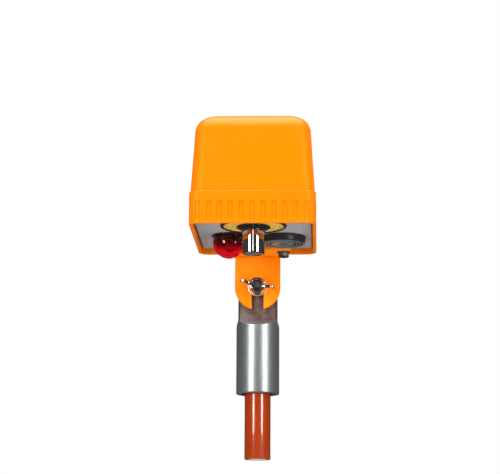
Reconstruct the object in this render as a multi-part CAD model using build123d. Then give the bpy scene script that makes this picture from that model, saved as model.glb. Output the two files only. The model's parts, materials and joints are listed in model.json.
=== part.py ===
from build123d import *
import math
import os

# High-voltage proximity detector head on an insulating pole.  Millimetres, +Z up.
# The origin is the centre of the pole's cut lower end, on the pole's axis.
# -Y is the front of the detector, where the hood overhangs the pole.

# ---------------------------------------------------------------- driving dimensions

# pole and its metal end fitting
POLE_OD = 25.0
POLE_BORE = 19.0
POLE_EXPOSED = 62.4
SPIGOT_R = 12.3
FERRULE_OD = 41.6
FERRULE_TOP = 127.0
SOCKET_OD = 32.0
SOCKET_TOP = 118.0
NECK_R = 19.1
NECK_Z = 136.5
PIN_R = 2.5
PIN_Z = 90.0

# pivot between the end fitting and the tongue
PIVOT_Z = 165.0
PIVOT_DISC_R = 25.5
SPOTFACE_R = 37.5
FLAT_Y = 8.7
BOSS_Y = 9.4
TOOTH_H = 0.5
TOOTH_W = 1.1
TOOTH_COUNT = 36
TOOTH_R0 = 8.5
BOLT_R = 5.0
BOLT_END_Y = -31.5

# tongue bracket
TONGUE_W = 44.0
TONGUE_T = 4.0
TONGUE_FRONT_Y = -14.4
SLOT_W = 11.8
FOOT_Z = 195.5
EAR_X = 25.6
EAR_Y = -35.5
EAR_R = 7.0

# hood
HOOD_W = 114.0
HOOD_D = 150.0
HOOD_BACK_Y = -11.0
SKIRT_Z = 197.5
SKIRT_H = 29.9
HOOD_H = 103.4
STEP_IN = 1.0
DRAFT = 3.45
WALL = 3.2
SKIRT_CORNER = 10.0
CORNER = 12.0
TOP_ROUND = 16.0
FLUTE_W = 4.0
FLUTE_DEPTH = 0.8
FLUTE_PITCH = 9.74
FLUTE_LOW = 1.5
FLUTE_HIGH = 20.5
FLUTES_FRONT = 11
FLUTES_SIDE = 15
PILLAR_R = 4.5
PILLAR_X = 43.5
PILLAR_INSET = 8.0
SHELF_H = 2.5

# base panel and what it carries
RECESS = 5.0
PANEL_T = 3.0
PANEL_GAP = 1.2
GASKET_T = 1.0
GASKET_W = 2.2
KNOB_Y = -125.0
DIAL_R = 30.3
DIAL_RIM_W = 3.0
KNOB_R = 10.2
KNOB_FLARE_R = 15.6
KNOB_NECK_R = 11.5
KNOB_BRIM = 0.9
KNOB_END_Z = 175.8
KNOB_NECK_Z = 197.7
SHAFT_R = 3.0
RUNNING_FIT = 0.05
LAMP_X = -24.3
LAMP_Y = -80.0
LENS_R = 15.3
LENS_DROP = 6.6
LENS_WALL = 2.0
CORE_R = 8.4
SOUNDER_X = 25.5
SOUNDER_Y = -72.0
SOUNDER_R = 21.75
SOUNDER_H = 7.0
SOUNDER_GROOVES = ((10.8, 12.6), (14.0, 15.6), (17.0, 18.6))
GROOVE_DEPTH = 1.5
SOUND_HOLES = 18

# inside the hood
BOARD_Z = 236.0
BOARD_T = 1.6
BOARD_W = 80.0
BOARD_D = 90.0
BOARD_Y = -75.0
BATTERY = (48.5, 26.5, 17.5)
BATTERY_X = -4.0
BATTERY_Y = -50.0
ANTENNA_Z = 284.0
LEAD_R = 0.65

# ---------------------------------------------------------------- derived dimensions

HOOD_Y = HOOD_BACK_Y - HOOD_D / 2
HOOD_TOP_Z = SKIRT_Z + HOOD_H
STEP_Z = SKIRT_Z + SKIRT_H
ROOF_Z = HOOD_TOP_Z - WALL
PANEL_Z = SKIRT_Z + RECESS
PANEL_TOP = PANEL_Z + PANEL_T
SHELF_Z = PANEL_TOP + GASKET_T
PANEL_W = HOOD_W - 2 * (WALL + PANEL_GAP)
PANEL_D = HOOD_D - 2 * (WALL + PANEL_GAP)
FOOT_TOP = FOOT_Z + TONGUE_T
TONGUE_BACK_Y = TONGUE_FRONT_Y + TONGUE_T
PILLAR_YS = (HOOD_BACK_Y - PILLAR_INSET, HOOD_BACK_Y - HOOD_D + PILLAR_INSET)
PILLAR_SPOTS = [(sx * PILLAR_X, y) for sx in (-1, 1) for y in PILLAR_YS]
EAR_SPOTS = [(-EAR_X, EAR_Y), (EAR_X, EAR_Y)]
BOARD_TOP = BOARD_Z + BOARD_T
BOARD_SPOTS = [(sx * 36.0, BOARD_Y + sy * 41.0) for sx in (-1, 1) for sy in (-1, 1)]
ANTENNA_SPOTS = [(sx * 34.0, HOOD_Y + sy * 46.0) for sx in (-1, 1) for sy in (-1, 1)]

UP = (Align.CENTER, Align.CENTER, Align.MIN)
NODES = {}


def keep(name, shape):
    """Stores a finished piece under its node name."""
    NODES[name] = shape
    return shape


def disc(radius, z0, z1, x=0.0, y=0.0):
    """Upright cylinder from z0 to z1."""
    return Pos(x, y, z0) * Cylinder(radius, z1 - z0, align=UP)


def ring(outer, inner, z0, z1, x=0.0, y=0.0):
    """Upright tube from z0 to z1."""
    return disc(outer, z0, z1, x, y) - disc(inner, z0, z1, x, y)


def cone(r0, r1, z0, z1, x=0.0, y=0.0):
    """Upright cone, radius r0 at z0 and r1 at z1."""
    return Pos(x, y, z0) * Cone(r0, r1, z1 - z0, align=UP)


def hexagon(flats, z0, z1, x=0.0, y=0.0):
    """Upright hexagonal prism, given across its flats."""
    outline = RegularPolygon(flats / 2, 6, major_radius=False)
    return extrude(Pos(x, y, z0) * outline, z1 - z0)


def block(wide, deep, z0, z1, x=0.0, y=0.0, corner=0.0):
    """Upright block, with rounded corners if asked."""
    outline = RectangleRounded(wide, deep, corner) if corner else Rectangle(wide, deep)
    return extrude(Pos(x, y, z0) * outline, z1 - z0)


def across(radius, y0, y1):
    """Cylinder on the pivot axis, from y0 to y1."""
    return Pos(0, y0, PIVOT_Z) * Rot(-90, 0, 0) * Cylinder(radius, y1 - y0, align=UP)


def wire_run(points, radii, radius):
    """Round lead along straight runs joined by arcs."""
    path = FilletPolyline(*points, radius=radii)
    start = Plane(origin=path @ 0, z_dir=path % 0)
    return sweep(start * Circle(radius), path=path)


def joined(pieces):
    """One compound of separate solids."""
    return Compound(children=[p for part in pieces for p in part.solids()])


# ---------------------------------------------------------------- pole


def make_pole():
    """Filled fibreglass pole, reducing bush and cross pin."""
    top = SOCKET_TOP - 2.0
    pin_hole = Pos(0, 0, PIN_Z) * Rot(0, 90, 0) * Cylinder(PIN_R + 0.02, FERRULE_OD + 2)
    tube = ring(POLE_OD / 2, POLE_BORE / 2, 0, POLE_EXPOSED)
    tube = tube + ring(SPIGOT_R, POLE_BORE / 2, POLE_EXPOSED, top)
    keep("pole_tube", tube - pin_hole)
    keep("pole_core", disc(POLE_BORE / 2 - 0.02, 0.4, top) - pin_hole)
    bush = ring(SOCKET_OD / 2 - 0.02, SPIGOT_R + 0.02, POLE_EXPOSED + 1.0, SOCKET_TOP)
    keep("pole_bush", bush - pin_hole)
    pin = Pos(0, 0, PIN_Z) * Rot(0, 90, 0) * Cylinder(PIN_R, FERRULE_OD - 0.8)
    keep("cross_pin", chamfer(pin.edges().filter_by(GeomType.CIRCLE), 0.5))


def tooth_ring(base_y, height, reach):
    """Radial V teeth standing on a plane across the pivot axis."""
    half = TOOTH_W / 2
    profile = make_face(Polyline((-half, 0), (half, 0), (0, height), close=True))
    tooth = extrude(profile, reach - TOOTH_R0)
    teeth = []
    for k in range(TOOTH_COUNT):
        angle = (k + 0.5) * 360.0 / TOOTH_COUNT
        place = Pos(0, base_y, PIVOT_Z) * Rot(0, angle, 0) * Pos(0, 0, TOOTH_R0)
        teeth.append(place * tooth)
    return teeth


def make_pole_head():
    """Metal end fitting: ferrule, rounded shoulder and a flat pivot end."""
    top = PIVOT_Z + PIVOT_DISC_R + 1.0
    ferrule_r = FERRULE_OD / 2
    foot = Line((0, POLE_EXPOSED), (ferrule_r, POLE_EXPOSED))
    wall = Line((ferrule_r, POLE_EXPOSED), (ferrule_r, FERRULE_TOP))
    shoulder = Spline((ferrule_r, FERRULE_TOP), (NECK_R, NECK_Z), tangents=[(0, 1), (0, 1)])
    neck = Line((NECK_R, NECK_Z), (NECK_R, top))
    lid = Line((NECK_R, top), (0, top))
    axis = Line((0, top), (0, POLE_EXPOSED))
    outline = make_face([foot, wall, shoulder, neck, lid, axis])
    body = revolve(Plane.XZ * outline, Axis.Z)
    body = fillet(body.edges().group_by(Axis.Z)[0], 1.0)

    far = FERRULE_OD
    flat_end = across(PIVOT_DISC_R, -far, far)
    above = block(2 * far, 2 * far, PIVOT_Z, PIVOT_Z + 2 * far)
    body = body - (above - flat_end)
    front = across(SPOTFACE_R, -far, -FLAT_Y) - across(PIVOT_DISC_R, -BOSS_Y, -FLAT_Y)
    back = across(SPOTFACE_R, FLAT_Y, far)
    body = body - front - back

    neck_bar = disc(NECK_R - 0.3, NECK_Z - 4, top)
    teeth = [t & neck_bar for t in tooth_ring(-BOSS_Y, -TOOTH_H, PIVOT_DISC_R - 1.5)]
    body = body + [t for t in teeth if t.volume > 0]

    body = body - disc(SOCKET_OD / 2, POLE_EXPOSED - 1, SOCKET_TOP)
    body = body - across(BOLT_R + 0.1, -far, far)
    square = Pos(0, FLAT_Y, PIVOT_Z) * Box(10.2, 11.0, 10.2)
    body = body - square
    pin_hole = Pos(0, 0, PIN_Z) * Rot(0, 90, 0) * Cylinder(PIN_R + 0.02, FERRULE_OD + 2)
    keep("pole_head", body - pin_hole)


# ---------------------------------------------------------------- pivot fasteners


def make_pivot_bolt():
    """Round-headed bolt whose square neck sits in the pivot end."""
    head_r = 11.5
    head_h = 5.4
    ball_r = (head_r**2 + head_h**2) / (2 * head_h)
    ball = Pos(0, FLAT_Y + head_h - ball_r, PIVOT_Z) * Sphere(ball_r)
    head = ball & across(head_r + 1, FLAT_Y, FLAT_Y + head_h + 1)
    neck = Pos(0, FLAT_Y - 2.6, PIVOT_Z) * Box(10.0, 5.2, 10.0)
    shank = across(BOLT_R, BOLT_END_Y, FLAT_Y)
    shank = chamfer(shank.edges().group_by(Axis.Y)[0], 0.9)
    keep("pivot_bolt", head + neck + shank)


WASHER_GAP = 0.05
FLAT_WASHER_T = 2.0
LOCK_WASHER_T = 2.4
FLAT_WASHER_Y = TONGUE_FRONT_Y - WASHER_GAP - FLAT_WASHER_T
LOCK_WASHER_Y = FLAT_WASHER_Y - WASHER_GAP - LOCK_WASHER_T
NUT_BASE_Y = LOCK_WASHER_Y - WASHER_GAP
NUT_H = 10.6
WING_TILT = 12.0


def make_washers():
    """Flat washer, and a spring washer with its split."""
    flat = across(9.3, FLAT_WASHER_Y, FLAT_WASHER_Y + FLAT_WASHER_T)
    flat = flat - across(BOLT_R + 0.3, FLAT_WASHER_Y - 1, FLAT_WASHER_Y + FLAT_WASHER_T + 1)
    rims = flat.edges().filter_by(GeomType.CIRCLE).sort_by(SortBy.LENGTH)[-2:]
    keep("flat_washer", fillet(rims, 0.5))
    lock = across(8.4, LOCK_WASHER_Y, LOCK_WASHER_Y + LOCK_WASHER_T)
    lock = lock - across(BOLT_R + 0.3, LOCK_WASHER_Y - 1, LOCK_WASHER_Y + LOCK_WASHER_T + 1)
    middle = LOCK_WASHER_Y + LOCK_WASHER_T / 2
    split = Pos(0, middle, PIVOT_Z + 7) * Rot(0, 0, 25) * Box(1.0, 8.0, 8.0)
    keep("lock_washer", lock - split)


def make_wing_nut():
    """Cast wing nut: flared base, round hub and two ears leaning outwards."""
    hub_r = 7.15
    base = Pos(0, NUT_BASE_Y, PIVOT_Z) * Rot(90, 0, 0) * Cone(8.8, hub_r, 3.4, align=UP)
    hub = across(hub_r, NUT_BASE_Y - NUT_H, NUT_BASE_Y)
    hub = fillet(hub.edges().group_by(Axis.Y)[0], 1.0)
    ear_points = [(4.6, 1.0), (8.6, 1.6), (12.6, 7.5), (16.9, 13.0), (15.2, 17.2), (10.8, 15.8), (7.0, 9.2), (4.6, 8.0)]
    nut = base + hub
    for side in (1, -1):
        flat = [(side * x, -a) for x, a in ear_points]
        face = make_face(Spline(*flat, periodic=True))
        slab = extrude(face, 1.35, both=True)
        nut = nut + Pos(0, NUT_BASE_Y, PIVOT_Z) * slab
    nut = nut - across(BOLT_R + RUNNING_FIT, NUT_BASE_Y - 2 * NUT_H, NUT_BASE_Y + 1)
    turn = Pos(0, 0, PIVOT_Z) * Rot(0, WING_TILT, 0) * Pos(0, 0, -PIVOT_Z)
    keep("wing_nut", turn * nut)


# ---------------------------------------------------------------- tongue bracket


def foot_outline(margin, z):
    """Plan of the foot: straight at the bend, with two round ears."""
    ears = [Pos(x, y) * Circle(EAR_R - margin) for x, y in EAR_SPOTS]
    heel = Pos(0, TONGUE_FRONT_Y - 1.5) * Rectangle(TONGUE_W - 2 * margin, 3.0)
    edges = ears[0].edges() + ears[1].edges() + heel.edges()
    return Pos(0, 0, z) * make_hull(edges)


def make_tongue():
    """L bracket: a foot under the panel and an open-slotted, round-ended tongue."""
    half = TONGUE_W / 2
    foot = extrude(foot_outline(0.0, FOOT_Z), TONGUE_T)
    drop_h = FOOT_TOP - PIVOT_Z
    drop = Pos(0, TONGUE_BACK_Y - TONGUE_T / 2, PIVOT_Z + drop_h / 2) * Box(TONGUE_W, TONGUE_T, drop_h)
    end = across(half, TONGUE_FRONT_Y, TONGUE_BACK_Y)
    tongue = foot + drop + end
    outer = tongue.edges().filter_by(Axis.X).group_by(Axis.Z)[-1].sort_by(Axis.Y)[-1]
    tongue = fillet(outer, 5.0)
    inner = [
        e
        for e in tongue.edges().filter_by(Axis.X)
        if abs(e.center().Z - FOOT_Z) < 0.01 and abs(e.center().Y - TONGUE_FRONT_Y) < 0.01
    ]
    tongue = fillet(inner, 2.0)
    slot_z = PIVOT_Z + BOLT_R + RUNNING_FIT - SLOT_W / 2
    lift = slot_z - PIVOT_Z
    slot = Pos(0, 0, lift) * across(SLOT_W / 2, TONGUE_FRONT_Y - 3, TONGUE_BACK_Y + 3)
    channel = Pos(0, TONGUE_BACK_Y - TONGUE_T / 2, slot_z - half) * Box(SLOT_W, TONGUE_T + 6, 2 * half)
    teeth = [t for t in tooth_ring(TONGUE_BACK_Y, TOOTH_H - 0.1, half - 1.5)]
    tongue = tongue + teeth
    tongue = tongue - slot - channel
    for x, y in EAR_SPOTS:
        tongue = tongue - disc(3.2, FOOT_Z - 1, FOOT_TOP + 1, x, y)
    keep("tongue_bracket", tongue)


def make_bracket_fasteners():
    """Hexagon bolts, washers and nuts that hold the foot to the panel."""
    bolts = []
    washers = []
    nuts = []
    for x, y in EAR_SPOTS:
        shank = disc(3.0, FOOT_Z - 1.2, PANEL_TOP + 8.0, x, y)
        head = hexagon(10.0, FOOT_Z - 5.2, FOOT_Z - 1.2, x, y)
        dome = Pos(x, y, FOOT_Z - 1.2) * Sphere(6.3)
        bolts.append(shank + (head & dome))
        washers.append(ring(6.2, 3.2, FOOT_Z - 1.2, FOOT_Z, x, y))
        nuts.append(hexagon(10.0, PANEL_TOP, PANEL_TOP + 5.0, x, y) - disc(3.02, PANEL_TOP - 1, PANEL_TOP + 6, x, y))
    keep("bracket_bolts", joined(bolts))
    keep("bracket_washers", joined(washers))
    keep("bracket_nuts", joined(nuts))


# ---------------------------------------------------------------- hood


def tapered_block(wide, deep, z0, z1, side_round, top_round):
    """Drafted block with rounded sides and top."""
    body = extrude(Pos(0, HOOD_Y, z0) * Rectangle(wide, deep), z1 - z0, taper=DRAFT)
    upright = [e for e in body.edges() if abs(e.tangent_at(0.5).Z) > 0.9]
    body = fillet(upright, side_round)
    return fillet(body.edges().group_by(Axis.Z)[-1], top_round)


def flute_cutters():
    """Shallow upright pockets round the skirt, which follow its outline."""
    z0 = SKIRT_Z + FLUTE_LOW
    z1 = SKIRT_Z + FLUTE_HIGH
    outer = block(HOOD_W + 2, HOOD_D + 2, z0, z1, 0, HOOD_Y)
    inner_w = HOOD_W - 2 * FLUTE_DEPTH
    inner_d = HOOD_D - 2 * FLUTE_DEPTH
    inner = block(inner_w, inner_d, z0, z1, 0, HOOD_Y, SKIRT_CORNER - FLUTE_DEPTH)
    band = outer - inner
    tall = z1 - z0
    slots = []
    for k in range(FLUTES_FRONT):
        x = (k - (FLUTES_FRONT - 1) / 2) * FLUTE_PITCH
        slots.append(Pos(x, HOOD_Y, z0) * Box(FLUTE_W, HOOD_D + 10, tall, align=UP))
    for k in range(FLUTES_SIDE):
        y = HOOD_Y + (k - (FLUTES_SIDE - 1) / 2) * FLUTE_PITCH
        slots.append(Pos(0, y, z0) * Box(HOOD_W + 10, FLUTE_W, tall, align=UP))
    inside = block(HOOD_W - 24, HOOD_D - 24, z0 - 1, z1 + 1, 0, HOOD_Y)
    return [(slot - inside) & band for slot in slots]


def make_hood():
    """Moulded hood: fluted skirt, drafted upper half, shelf, pillars and a notch."""
    skirt = block(HOOD_W, HOOD_D, SKIRT_Z, STEP_Z, 0, HOOD_Y, SKIRT_CORNER)
    skirt = chamfer(skirt.edges().group_by(Axis.Z)[-1], 0.6)
    skirt = fillet(skirt.edges().group_by(Axis.Z)[0], 0.6)
    upper_w = HOOD_W - 2 * STEP_IN
    upper_d = HOOD_D - 2 * STEP_IN
    upper = tapered_block(upper_w, upper_d, STEP_Z, HOOD_TOP_Z, CORNER, TOP_ROUND)
    for cutter in flute_cutters():
        skirt = skirt - cutter
    body = skirt + upper

    lower_cavity = block(HOOD_W - 2 * WALL, HOOD_D - 2 * WALL, SKIRT_Z, SHELF_Z, 0, HOOD_Y, SKIRT_CORNER - WALL)
    shelf_inset = WALL + PANEL_GAP + GASKET_W
    throat = block(HOOD_W - 2 * shelf_inset, HOOD_D - 2 * shelf_inset, SHELF_Z, SHELF_Z + SHELF_H, 0, HOOD_Y, 5.0)
    above_shelf = SHELF_Z + SHELF_H
    cavity_w = upper_w - 2 * WALL
    cavity_d = upper_d - 2 * WALL
    ledge = 1.2
    mid_corner = CORNER - WALL - ledge / 2
    mid_cavity = block(cavity_w - ledge, cavity_d - ledge, above_shelf, STEP_Z, 0, HOOD_Y, mid_corner)
    upper_cavity = tapered_block(cavity_w, cavity_d, STEP_Z, ROOF_Z, CORNER - WALL, TOP_ROUND - WALL)
    body = body - lower_cavity - throat - mid_cavity - upper_cavity

    for x, y in PILLAR_SPOTS:
        body = body + disc(PILLAR_R, SHELF_Z, STEP_Z - 3.0, x, y)
    for x, y in PILLAR_SPOTS:
        body = body - disc(1.55, SHELF_Z - 1, SHELF_Z + 18, x, y)
    notch_w = TONGUE_W + 2.0
    notch = Pos(0, HOOD_BACK_Y - WALL / 2, SKIRT_Z) * Box(notch_w, WALL + 4, 2 * (FOOT_TOP - SKIRT_Z + 0.6))
    keep("hood_shell", body - notch)


# ---------------------------------------------------------------- base panel


def make_panel():
    """Grey base panel with its openings, bracket pad and corner screws."""
    panel = block(PANEL_W, PANEL_D, PANEL_Z, PANEL_TOP, 0, HOOD_Y, SKIRT_CORNER - WALL - PANEL_GAP)
    panel = panel + extrude(foot_outline(0.6, FOOT_TOP), PANEL_Z - FOOT_TOP)
    panel = panel - disc(4.9, PANEL_Z - 1, PANEL_TOP + 1, 0, KNOB_Y)
    panel = panel - disc(10.2, PANEL_Z - 1, PANEL_TOP + 1, LAMP_X, LAMP_Y)
    panel = panel - disc(17.6, PANEL_Z - 1, PANEL_TOP + 1, SOUNDER_X, SOUNDER_Y)
    for x, y in EAR_SPOTS:
        panel = panel - disc(3.2, FOOT_TOP - 1, PANEL_TOP + 1, x, y)
    for x, y in PILLAR_SPOTS:
        panel = panel - disc(1.7, PANEL_Z - 1, PANEL_TOP + 1, x, y)
        panel = panel - disc(3.1, PANEL_Z - 1, PANEL_Z + 1.8, x, y)
    for x, y in BOARD_SPOTS:
        panel = panel - disc(1.5, PANEL_TOP - 2.2, PANEL_TOP + 1, x, y)
    keep("base_panel", panel)

    screws = []
    for x, y in PILLAR_SPOTS:
        head = disc(2.85, PANEL_Z + 0.2, PANEL_Z + 1.8, x, y)
        head = fillet(head.edges().group_by(Axis.Z)[0], 0.6)
        shank = disc(1.5, PANEL_Z + 1.8, SHELF_Z + 12, x, y)
        cross = Box(0.7, 3.4, 1.6) + Box(3.4, 0.7, 1.6)
        screws.append(head + shank - Pos(x, y, PANEL_Z + 0.4) * cross)
    keep("panel_screws", joined(screws))

    outer = block(PANEL_W, PANEL_D, PANEL_TOP, SHELF_Z, 0, HOOD_Y, 6.6)
    inset = 2 * GASKET_W
    inner = block(PANEL_W - inset, PANEL_D - inset, PANEL_TOP, SHELF_Z, 0, HOOD_Y, 4.4)
    gasket = outer - inner
    for x, y in PILLAR_SPOTS:
        gasket = gasket + disc(PILLAR_R, PANEL_TOP, SHELF_Z, x, y)
    for x, y in PILLAR_SPOTS:
        gasket = gasket - disc(1.7, PANEL_TOP - 1, SHELF_Z + 1, x, y)
    keep("panel_gasket", gasket)


def make_dial():
    """Yellow dial plate inside a thick black rim."""
    plate_z = PANEL_Z - 1.0
    plate = ring(DIAL_R - DIAL_RIM_W, 4.9, plate_z, PANEL_Z, 0, KNOB_Y)
    keep("dial_plate", plate)
    rim = ring(DIAL_R, DIAL_R - DIAL_RIM_W, PANEL_Z - 1.8, PANEL_Z, 0, KNOB_Y)
    low = rim.edges().group_by(Axis.Z)[0]
    keep("dial_rim", fillet(low, 0.6))


LUG_COUNT = 9
LUG_CIRCLE_R = 10.0


def lug_spot(k):
    """Plan position of the switch's terminal number k."""
    angle = 2 * math.pi * k / LUG_COUNT
    return LUG_CIRCLE_R * math.cos(angle), KNOB_Y + LUG_CIRCLE_R * math.sin(angle)


def make_selector():
    """Rotary switch, its nut and shaft, and the flared knob with its bright cap."""
    nut_low = PANEL_Z - 3.4
    housing = disc(13.5, PANEL_TOP, PANEL_TOP + 12, 0, KNOB_Y)
    housing = fillet(housing.edges().group_by(Axis.Z)[-1], 1.0)
    bush = disc(4.7, nut_low - 0.6, PANEL_TOP, 0, KNOB_Y)
    lugs = []
    for k in range(LUG_COUNT):
        lug_x, lug_y = lug_spot(k)
        lugs.append(block(1.4, 1.4, PANEL_TOP + 12, PANEL_TOP + 16, lug_x, lug_y))
    switch = housing + bush + lugs
    switch = switch - disc(SHAFT_R + RUNNING_FIT, nut_low - 2, PANEL_TOP + 10, 0, KNOB_Y)
    keep("switch_body", switch)
    nut = hexagon(13.0, nut_low, PANEL_Z - 1.0, 0, KNOB_Y) - disc(4.72, nut_low - 1, PANEL_Z, 0, KNOB_Y)
    keep("switch_nut", nut)

    shaft_low = KNOB_END_Z + 5.0
    shaft = disc(SHAFT_R, shaft_low, PANEL_TOP + 9.8, 0, KNOB_Y)
    keep("switch_shaft", shaft)

    top = PANEL_Z - 1.0 - 0.35
    neck_z = KNOB_NECK_Z
    inside = 8.4
    ceiling = nut_low - 1.2
    brim_z = top - KNOB_BRIM
    flare = cone(KNOB_NECK_R, KNOB_FLARE_R, neck_z, brim_z, 0, KNOB_Y)
    brim = disc(KNOB_FLARE_R, brim_z, top, 0, KNOB_Y)
    skirt = flare + brim - disc(inside, neck_z - 1, top + 1, 0, KNOB_Y)
    keep("knob_skirt", skirt)

    cap = disc(KNOB_R, KNOB_END_Z, neck_z, 0, KNOB_Y)
    cap = fillet(cap.edges().group_by(Axis.Z)[0], 1.2)
    collar = disc(KNOB_NECK_R - 0.6, neck_z - 1.6, neck_z, 0, KNOB_Y)
    cap = cap + collar
    cap = cap - disc(inside, ceiling, neck_z + 1, 0, KNOB_Y)
    cap = cap - disc(SHAFT_R + 0.02, shaft_low - 0.2, neck_z, 0, KNOB_Y)
    grub_z = KNOB_END_Z + 11.0
    grub_hole = Pos(0, KNOB_Y + 7.0, grub_z) * Rot(90, 0, 0) * Cylinder(1.52, 9.0)
    cap = cap - grub_hole
    keep("knob_cap", cap)
    grub = Pos(0, KNOB_Y + 6.2, grub_z) * Rot(90, 0, 0) * Cylinder(1.5, 6.2)
    socket = Pos(0, KNOB_Y + 9.3, grub_z) * Rot(90, 0, 0) * extrude(RegularPolygon(0.8, 6), 1.4, both=True)
    keep("knob_grub_screw", grub - socket)


def make_lamp():
    """Red domed lamp: lens, bezel, holder, light source and back nut."""
    centre_z = PANEL_Z - LENS_DROP
    seat = math.sqrt(LENS_R**2 - LENS_DROP**2)
    ball = Pos(LAMP_X, LAMP_Y, centre_z) * Sphere(LENS_R)
    hollow = Pos(LAMP_X, LAMP_Y, centre_z) * Sphere(LENS_R - LENS_WALL)
    below = disc(LENS_R + 1, centre_z - LENS_R - 1, PANEL_Z, LAMP_X, LAMP_Y)
    lens = (ball - hollow) & below
    keep("lamp_lens", lens)
    outer = seat + 2.6
    bezel = ring(outer, seat + 0.9, PANEL_Z - 1.6, PANEL_Z, LAMP_X, LAMP_Y)
    bezel = fillet(bezel.edges().group_by(Axis.Z)[0].sort_by(SortBy.LENGTH)[-1], 1.0)
    keep("lamp_bezel", bezel)
    holder = disc(9.9, PANEL_Z - 0.2, PANEL_TOP + 9, LAMP_X, LAMP_Y)
    seat_disc = disc(seat - LENS_WALL - 1.2, PANEL_Z - 1.4, PANEL_Z - 0.2, LAMP_X, LAMP_Y)
    holder = holder + seat_disc - disc(2.6, PANEL_Z - 3, PANEL_TOP + 10, LAMP_X, LAMP_Y)
    keep("lamp_holder", holder)
    core_z = PANEL_Z - 1.4
    core = Pos(LAMP_X, LAMP_Y, core_z) * Sphere(CORE_R) & disc(CORE_R + 1, core_z - CORE_R - 1, core_z, LAMP_X, LAMP_Y)
    core = core + disc(2.5, core_z - 1, PANEL_Z + 2.0, LAMP_X, LAMP_Y)
    keep("lamp_led", core)
    nut = hexagon(24.0, PANEL_TOP, PANEL_TOP + 4, LAMP_X, LAMP_Y) - disc(9.92, PANEL_TOP - 1, PANEL_TOP + 5, LAMP_X, LAMP_Y)
    keep("lamp_nut", nut)


def make_sounder():
    """Panel sounder: louvred bezel, housing, buzzer disc and ring nut."""
    x = SOUNDER_X
    y = SOUNDER_Y
    face_z = PANEL_Z - SOUNDER_H
    bezel = cone(SOUNDER_R - 0.8, SOUNDER_R, face_z, PANEL_Z, x, y)
    bezel = fillet(bezel.edges().group_by(Axis.Z)[0], 1.6)
    bezel = bezel - disc(SOUNDER_R - 4.5, face_z + 2.4, PANEL_Z + 1, x, y)
    for inner, outer in SOUNDER_GROOVES:
        bezel = bezel - ring(outer, inner, face_z - 1, face_z + GROOVE_DEPTH, x, y)
    middle = sum(SOUNDER_GROOVES[0]) / 2
    for k in range(SOUND_HOLES):
        angle = 2 * math.pi * k / SOUND_HOLES
        hole_x = x + middle * math.cos(angle)
        hole_y = y + middle * math.sin(angle)
        bezel = bezel - disc(0.7, face_z, face_z + 3.0, hole_x, hole_y)
    keep("sounder_bezel", bezel)
    housing = disc(17.2, face_z + 3.2, PANEL_TOP + 18, x, y)
    housing = housing - disc(15.6, face_z + 3.0, PANEL_TOP + 14, x, y)
    keep("sounder_housing", housing)
    plate = disc(15.58, face_z + 6.0, face_z + 6.6, x, y) + disc(10.0, face_z + 6.6, face_z + 7.0, x, y)
    keep("sounder_disc", plate)
    nut = ring(21.5, 17.25, PANEL_TOP, PANEL_TOP + 4, x, y)
    notches = []
    for k in range(8):
        notches.append(Pos(x, y, PANEL_TOP + 2) * Rot(0, 0, k * 45.0) * Pos(21.5, 0, 0) * Box(3.0, 3.0, 5.0))
    for notch in notches:
        nut = nut - notch
    keep("sounder_nut", nut)


# ---------------------------------------------------------------- inside the hood


def make_board():
    """Circuit board on four pillars, with its parts."""
    board = block(BOARD_W, BOARD_D, BOARD_Z, BOARD_TOP, 0, BOARD_Y, 2.0)
    pillars = []
    screws = []
    for x, y in BOARD_SPOTS:
        board = board - disc(1.6, BOARD_Z - 1, BOARD_TOP + 1, x, y)
        post = hexagon(6.0, PANEL_TOP, BOARD_Z, x, y) + disc(1.45, PANEL_TOP - 2, PANEL_TOP, x, y)
        pillars.append(post - disc(1.5, BOARD_Z - 8, BOARD_Z + 1, x, y))
        screws.append(disc(2.8, BOARD_TOP, BOARD_TOP + 2, x, y) + disc(1.45, BOARD_Z - 6, BOARD_TOP, x, y))
    keep("circuit_board", board)
    keep("board_pillars", joined(pillars))
    keep("board_screws", joined(screws))

    chips = [block(9.6, 6.4, BOARD_TOP, BOARD_TOP + 3.4, cx, -92.0) for cx in (-20.0, 0.0, 20.0)]
    keep("board_chips", joined(chips))
    cans = [disc(4.0, BOARD_TOP, BOARD_TOP + 12.0, cx, -107.0) for cx in (-24.0, -12.0)]
    keep("board_capacitors", joined(cans))
    beads = []
    for k in range(7):
        bead = Pos(4.0 + 4.0 * k, -107.0, BOARD_TOP + 1.3) * Rot(90, 0, 0) * Cylinder(1.25, 6.5)
        beads.append(bead)
    keep("board_resistors", joined(beads))


def make_battery():
    """Block battery in its tray, with a snap connector."""
    long, deep, tall = BATTERY
    tray_z = BOARD_TOP
    floor = 1.5
    tray = block(long + 6, deep + 4, tray_z, tray_z + 10, BATTERY_X + 1.0, BATTERY_Y, 1.0)
    pocket = block(long + 3, deep + 0.6, tray_z + floor, tray_z + 11, BATTERY_X + 1.0, BATTERY_Y)
    gap = Pos(BATTERY_X + long / 2 + 3, BATTERY_Y, tray_z + 8) * Box(6, deep - 6, 12)
    keep("battery_tray", tray - pocket - gap)
    low = tray_z + floor
    cell = block(long - 3.0, deep, low, low + tall, BATTERY_X - 1.5, BATTERY_Y, 1.2)
    studs_x = BATTERY_X + long / 2 - 3.0
    terminals = []
    for side in (-1, 1):
        stud = Pos(studs_x, BATTERY_Y + side * 6.35, low + tall / 2) * Rot(0, 90, 0) * Cylinder(3.2, 2.8, align=UP)
        terminals.append(stud)
    keep("battery", cell + terminals)
    snap_x = studs_x + 2.8
    keep("battery_snap", Pos(snap_x + 1.2, BATTERY_Y, low + tall / 2) * Box(2.4, 23.0, 12.5))


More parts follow.
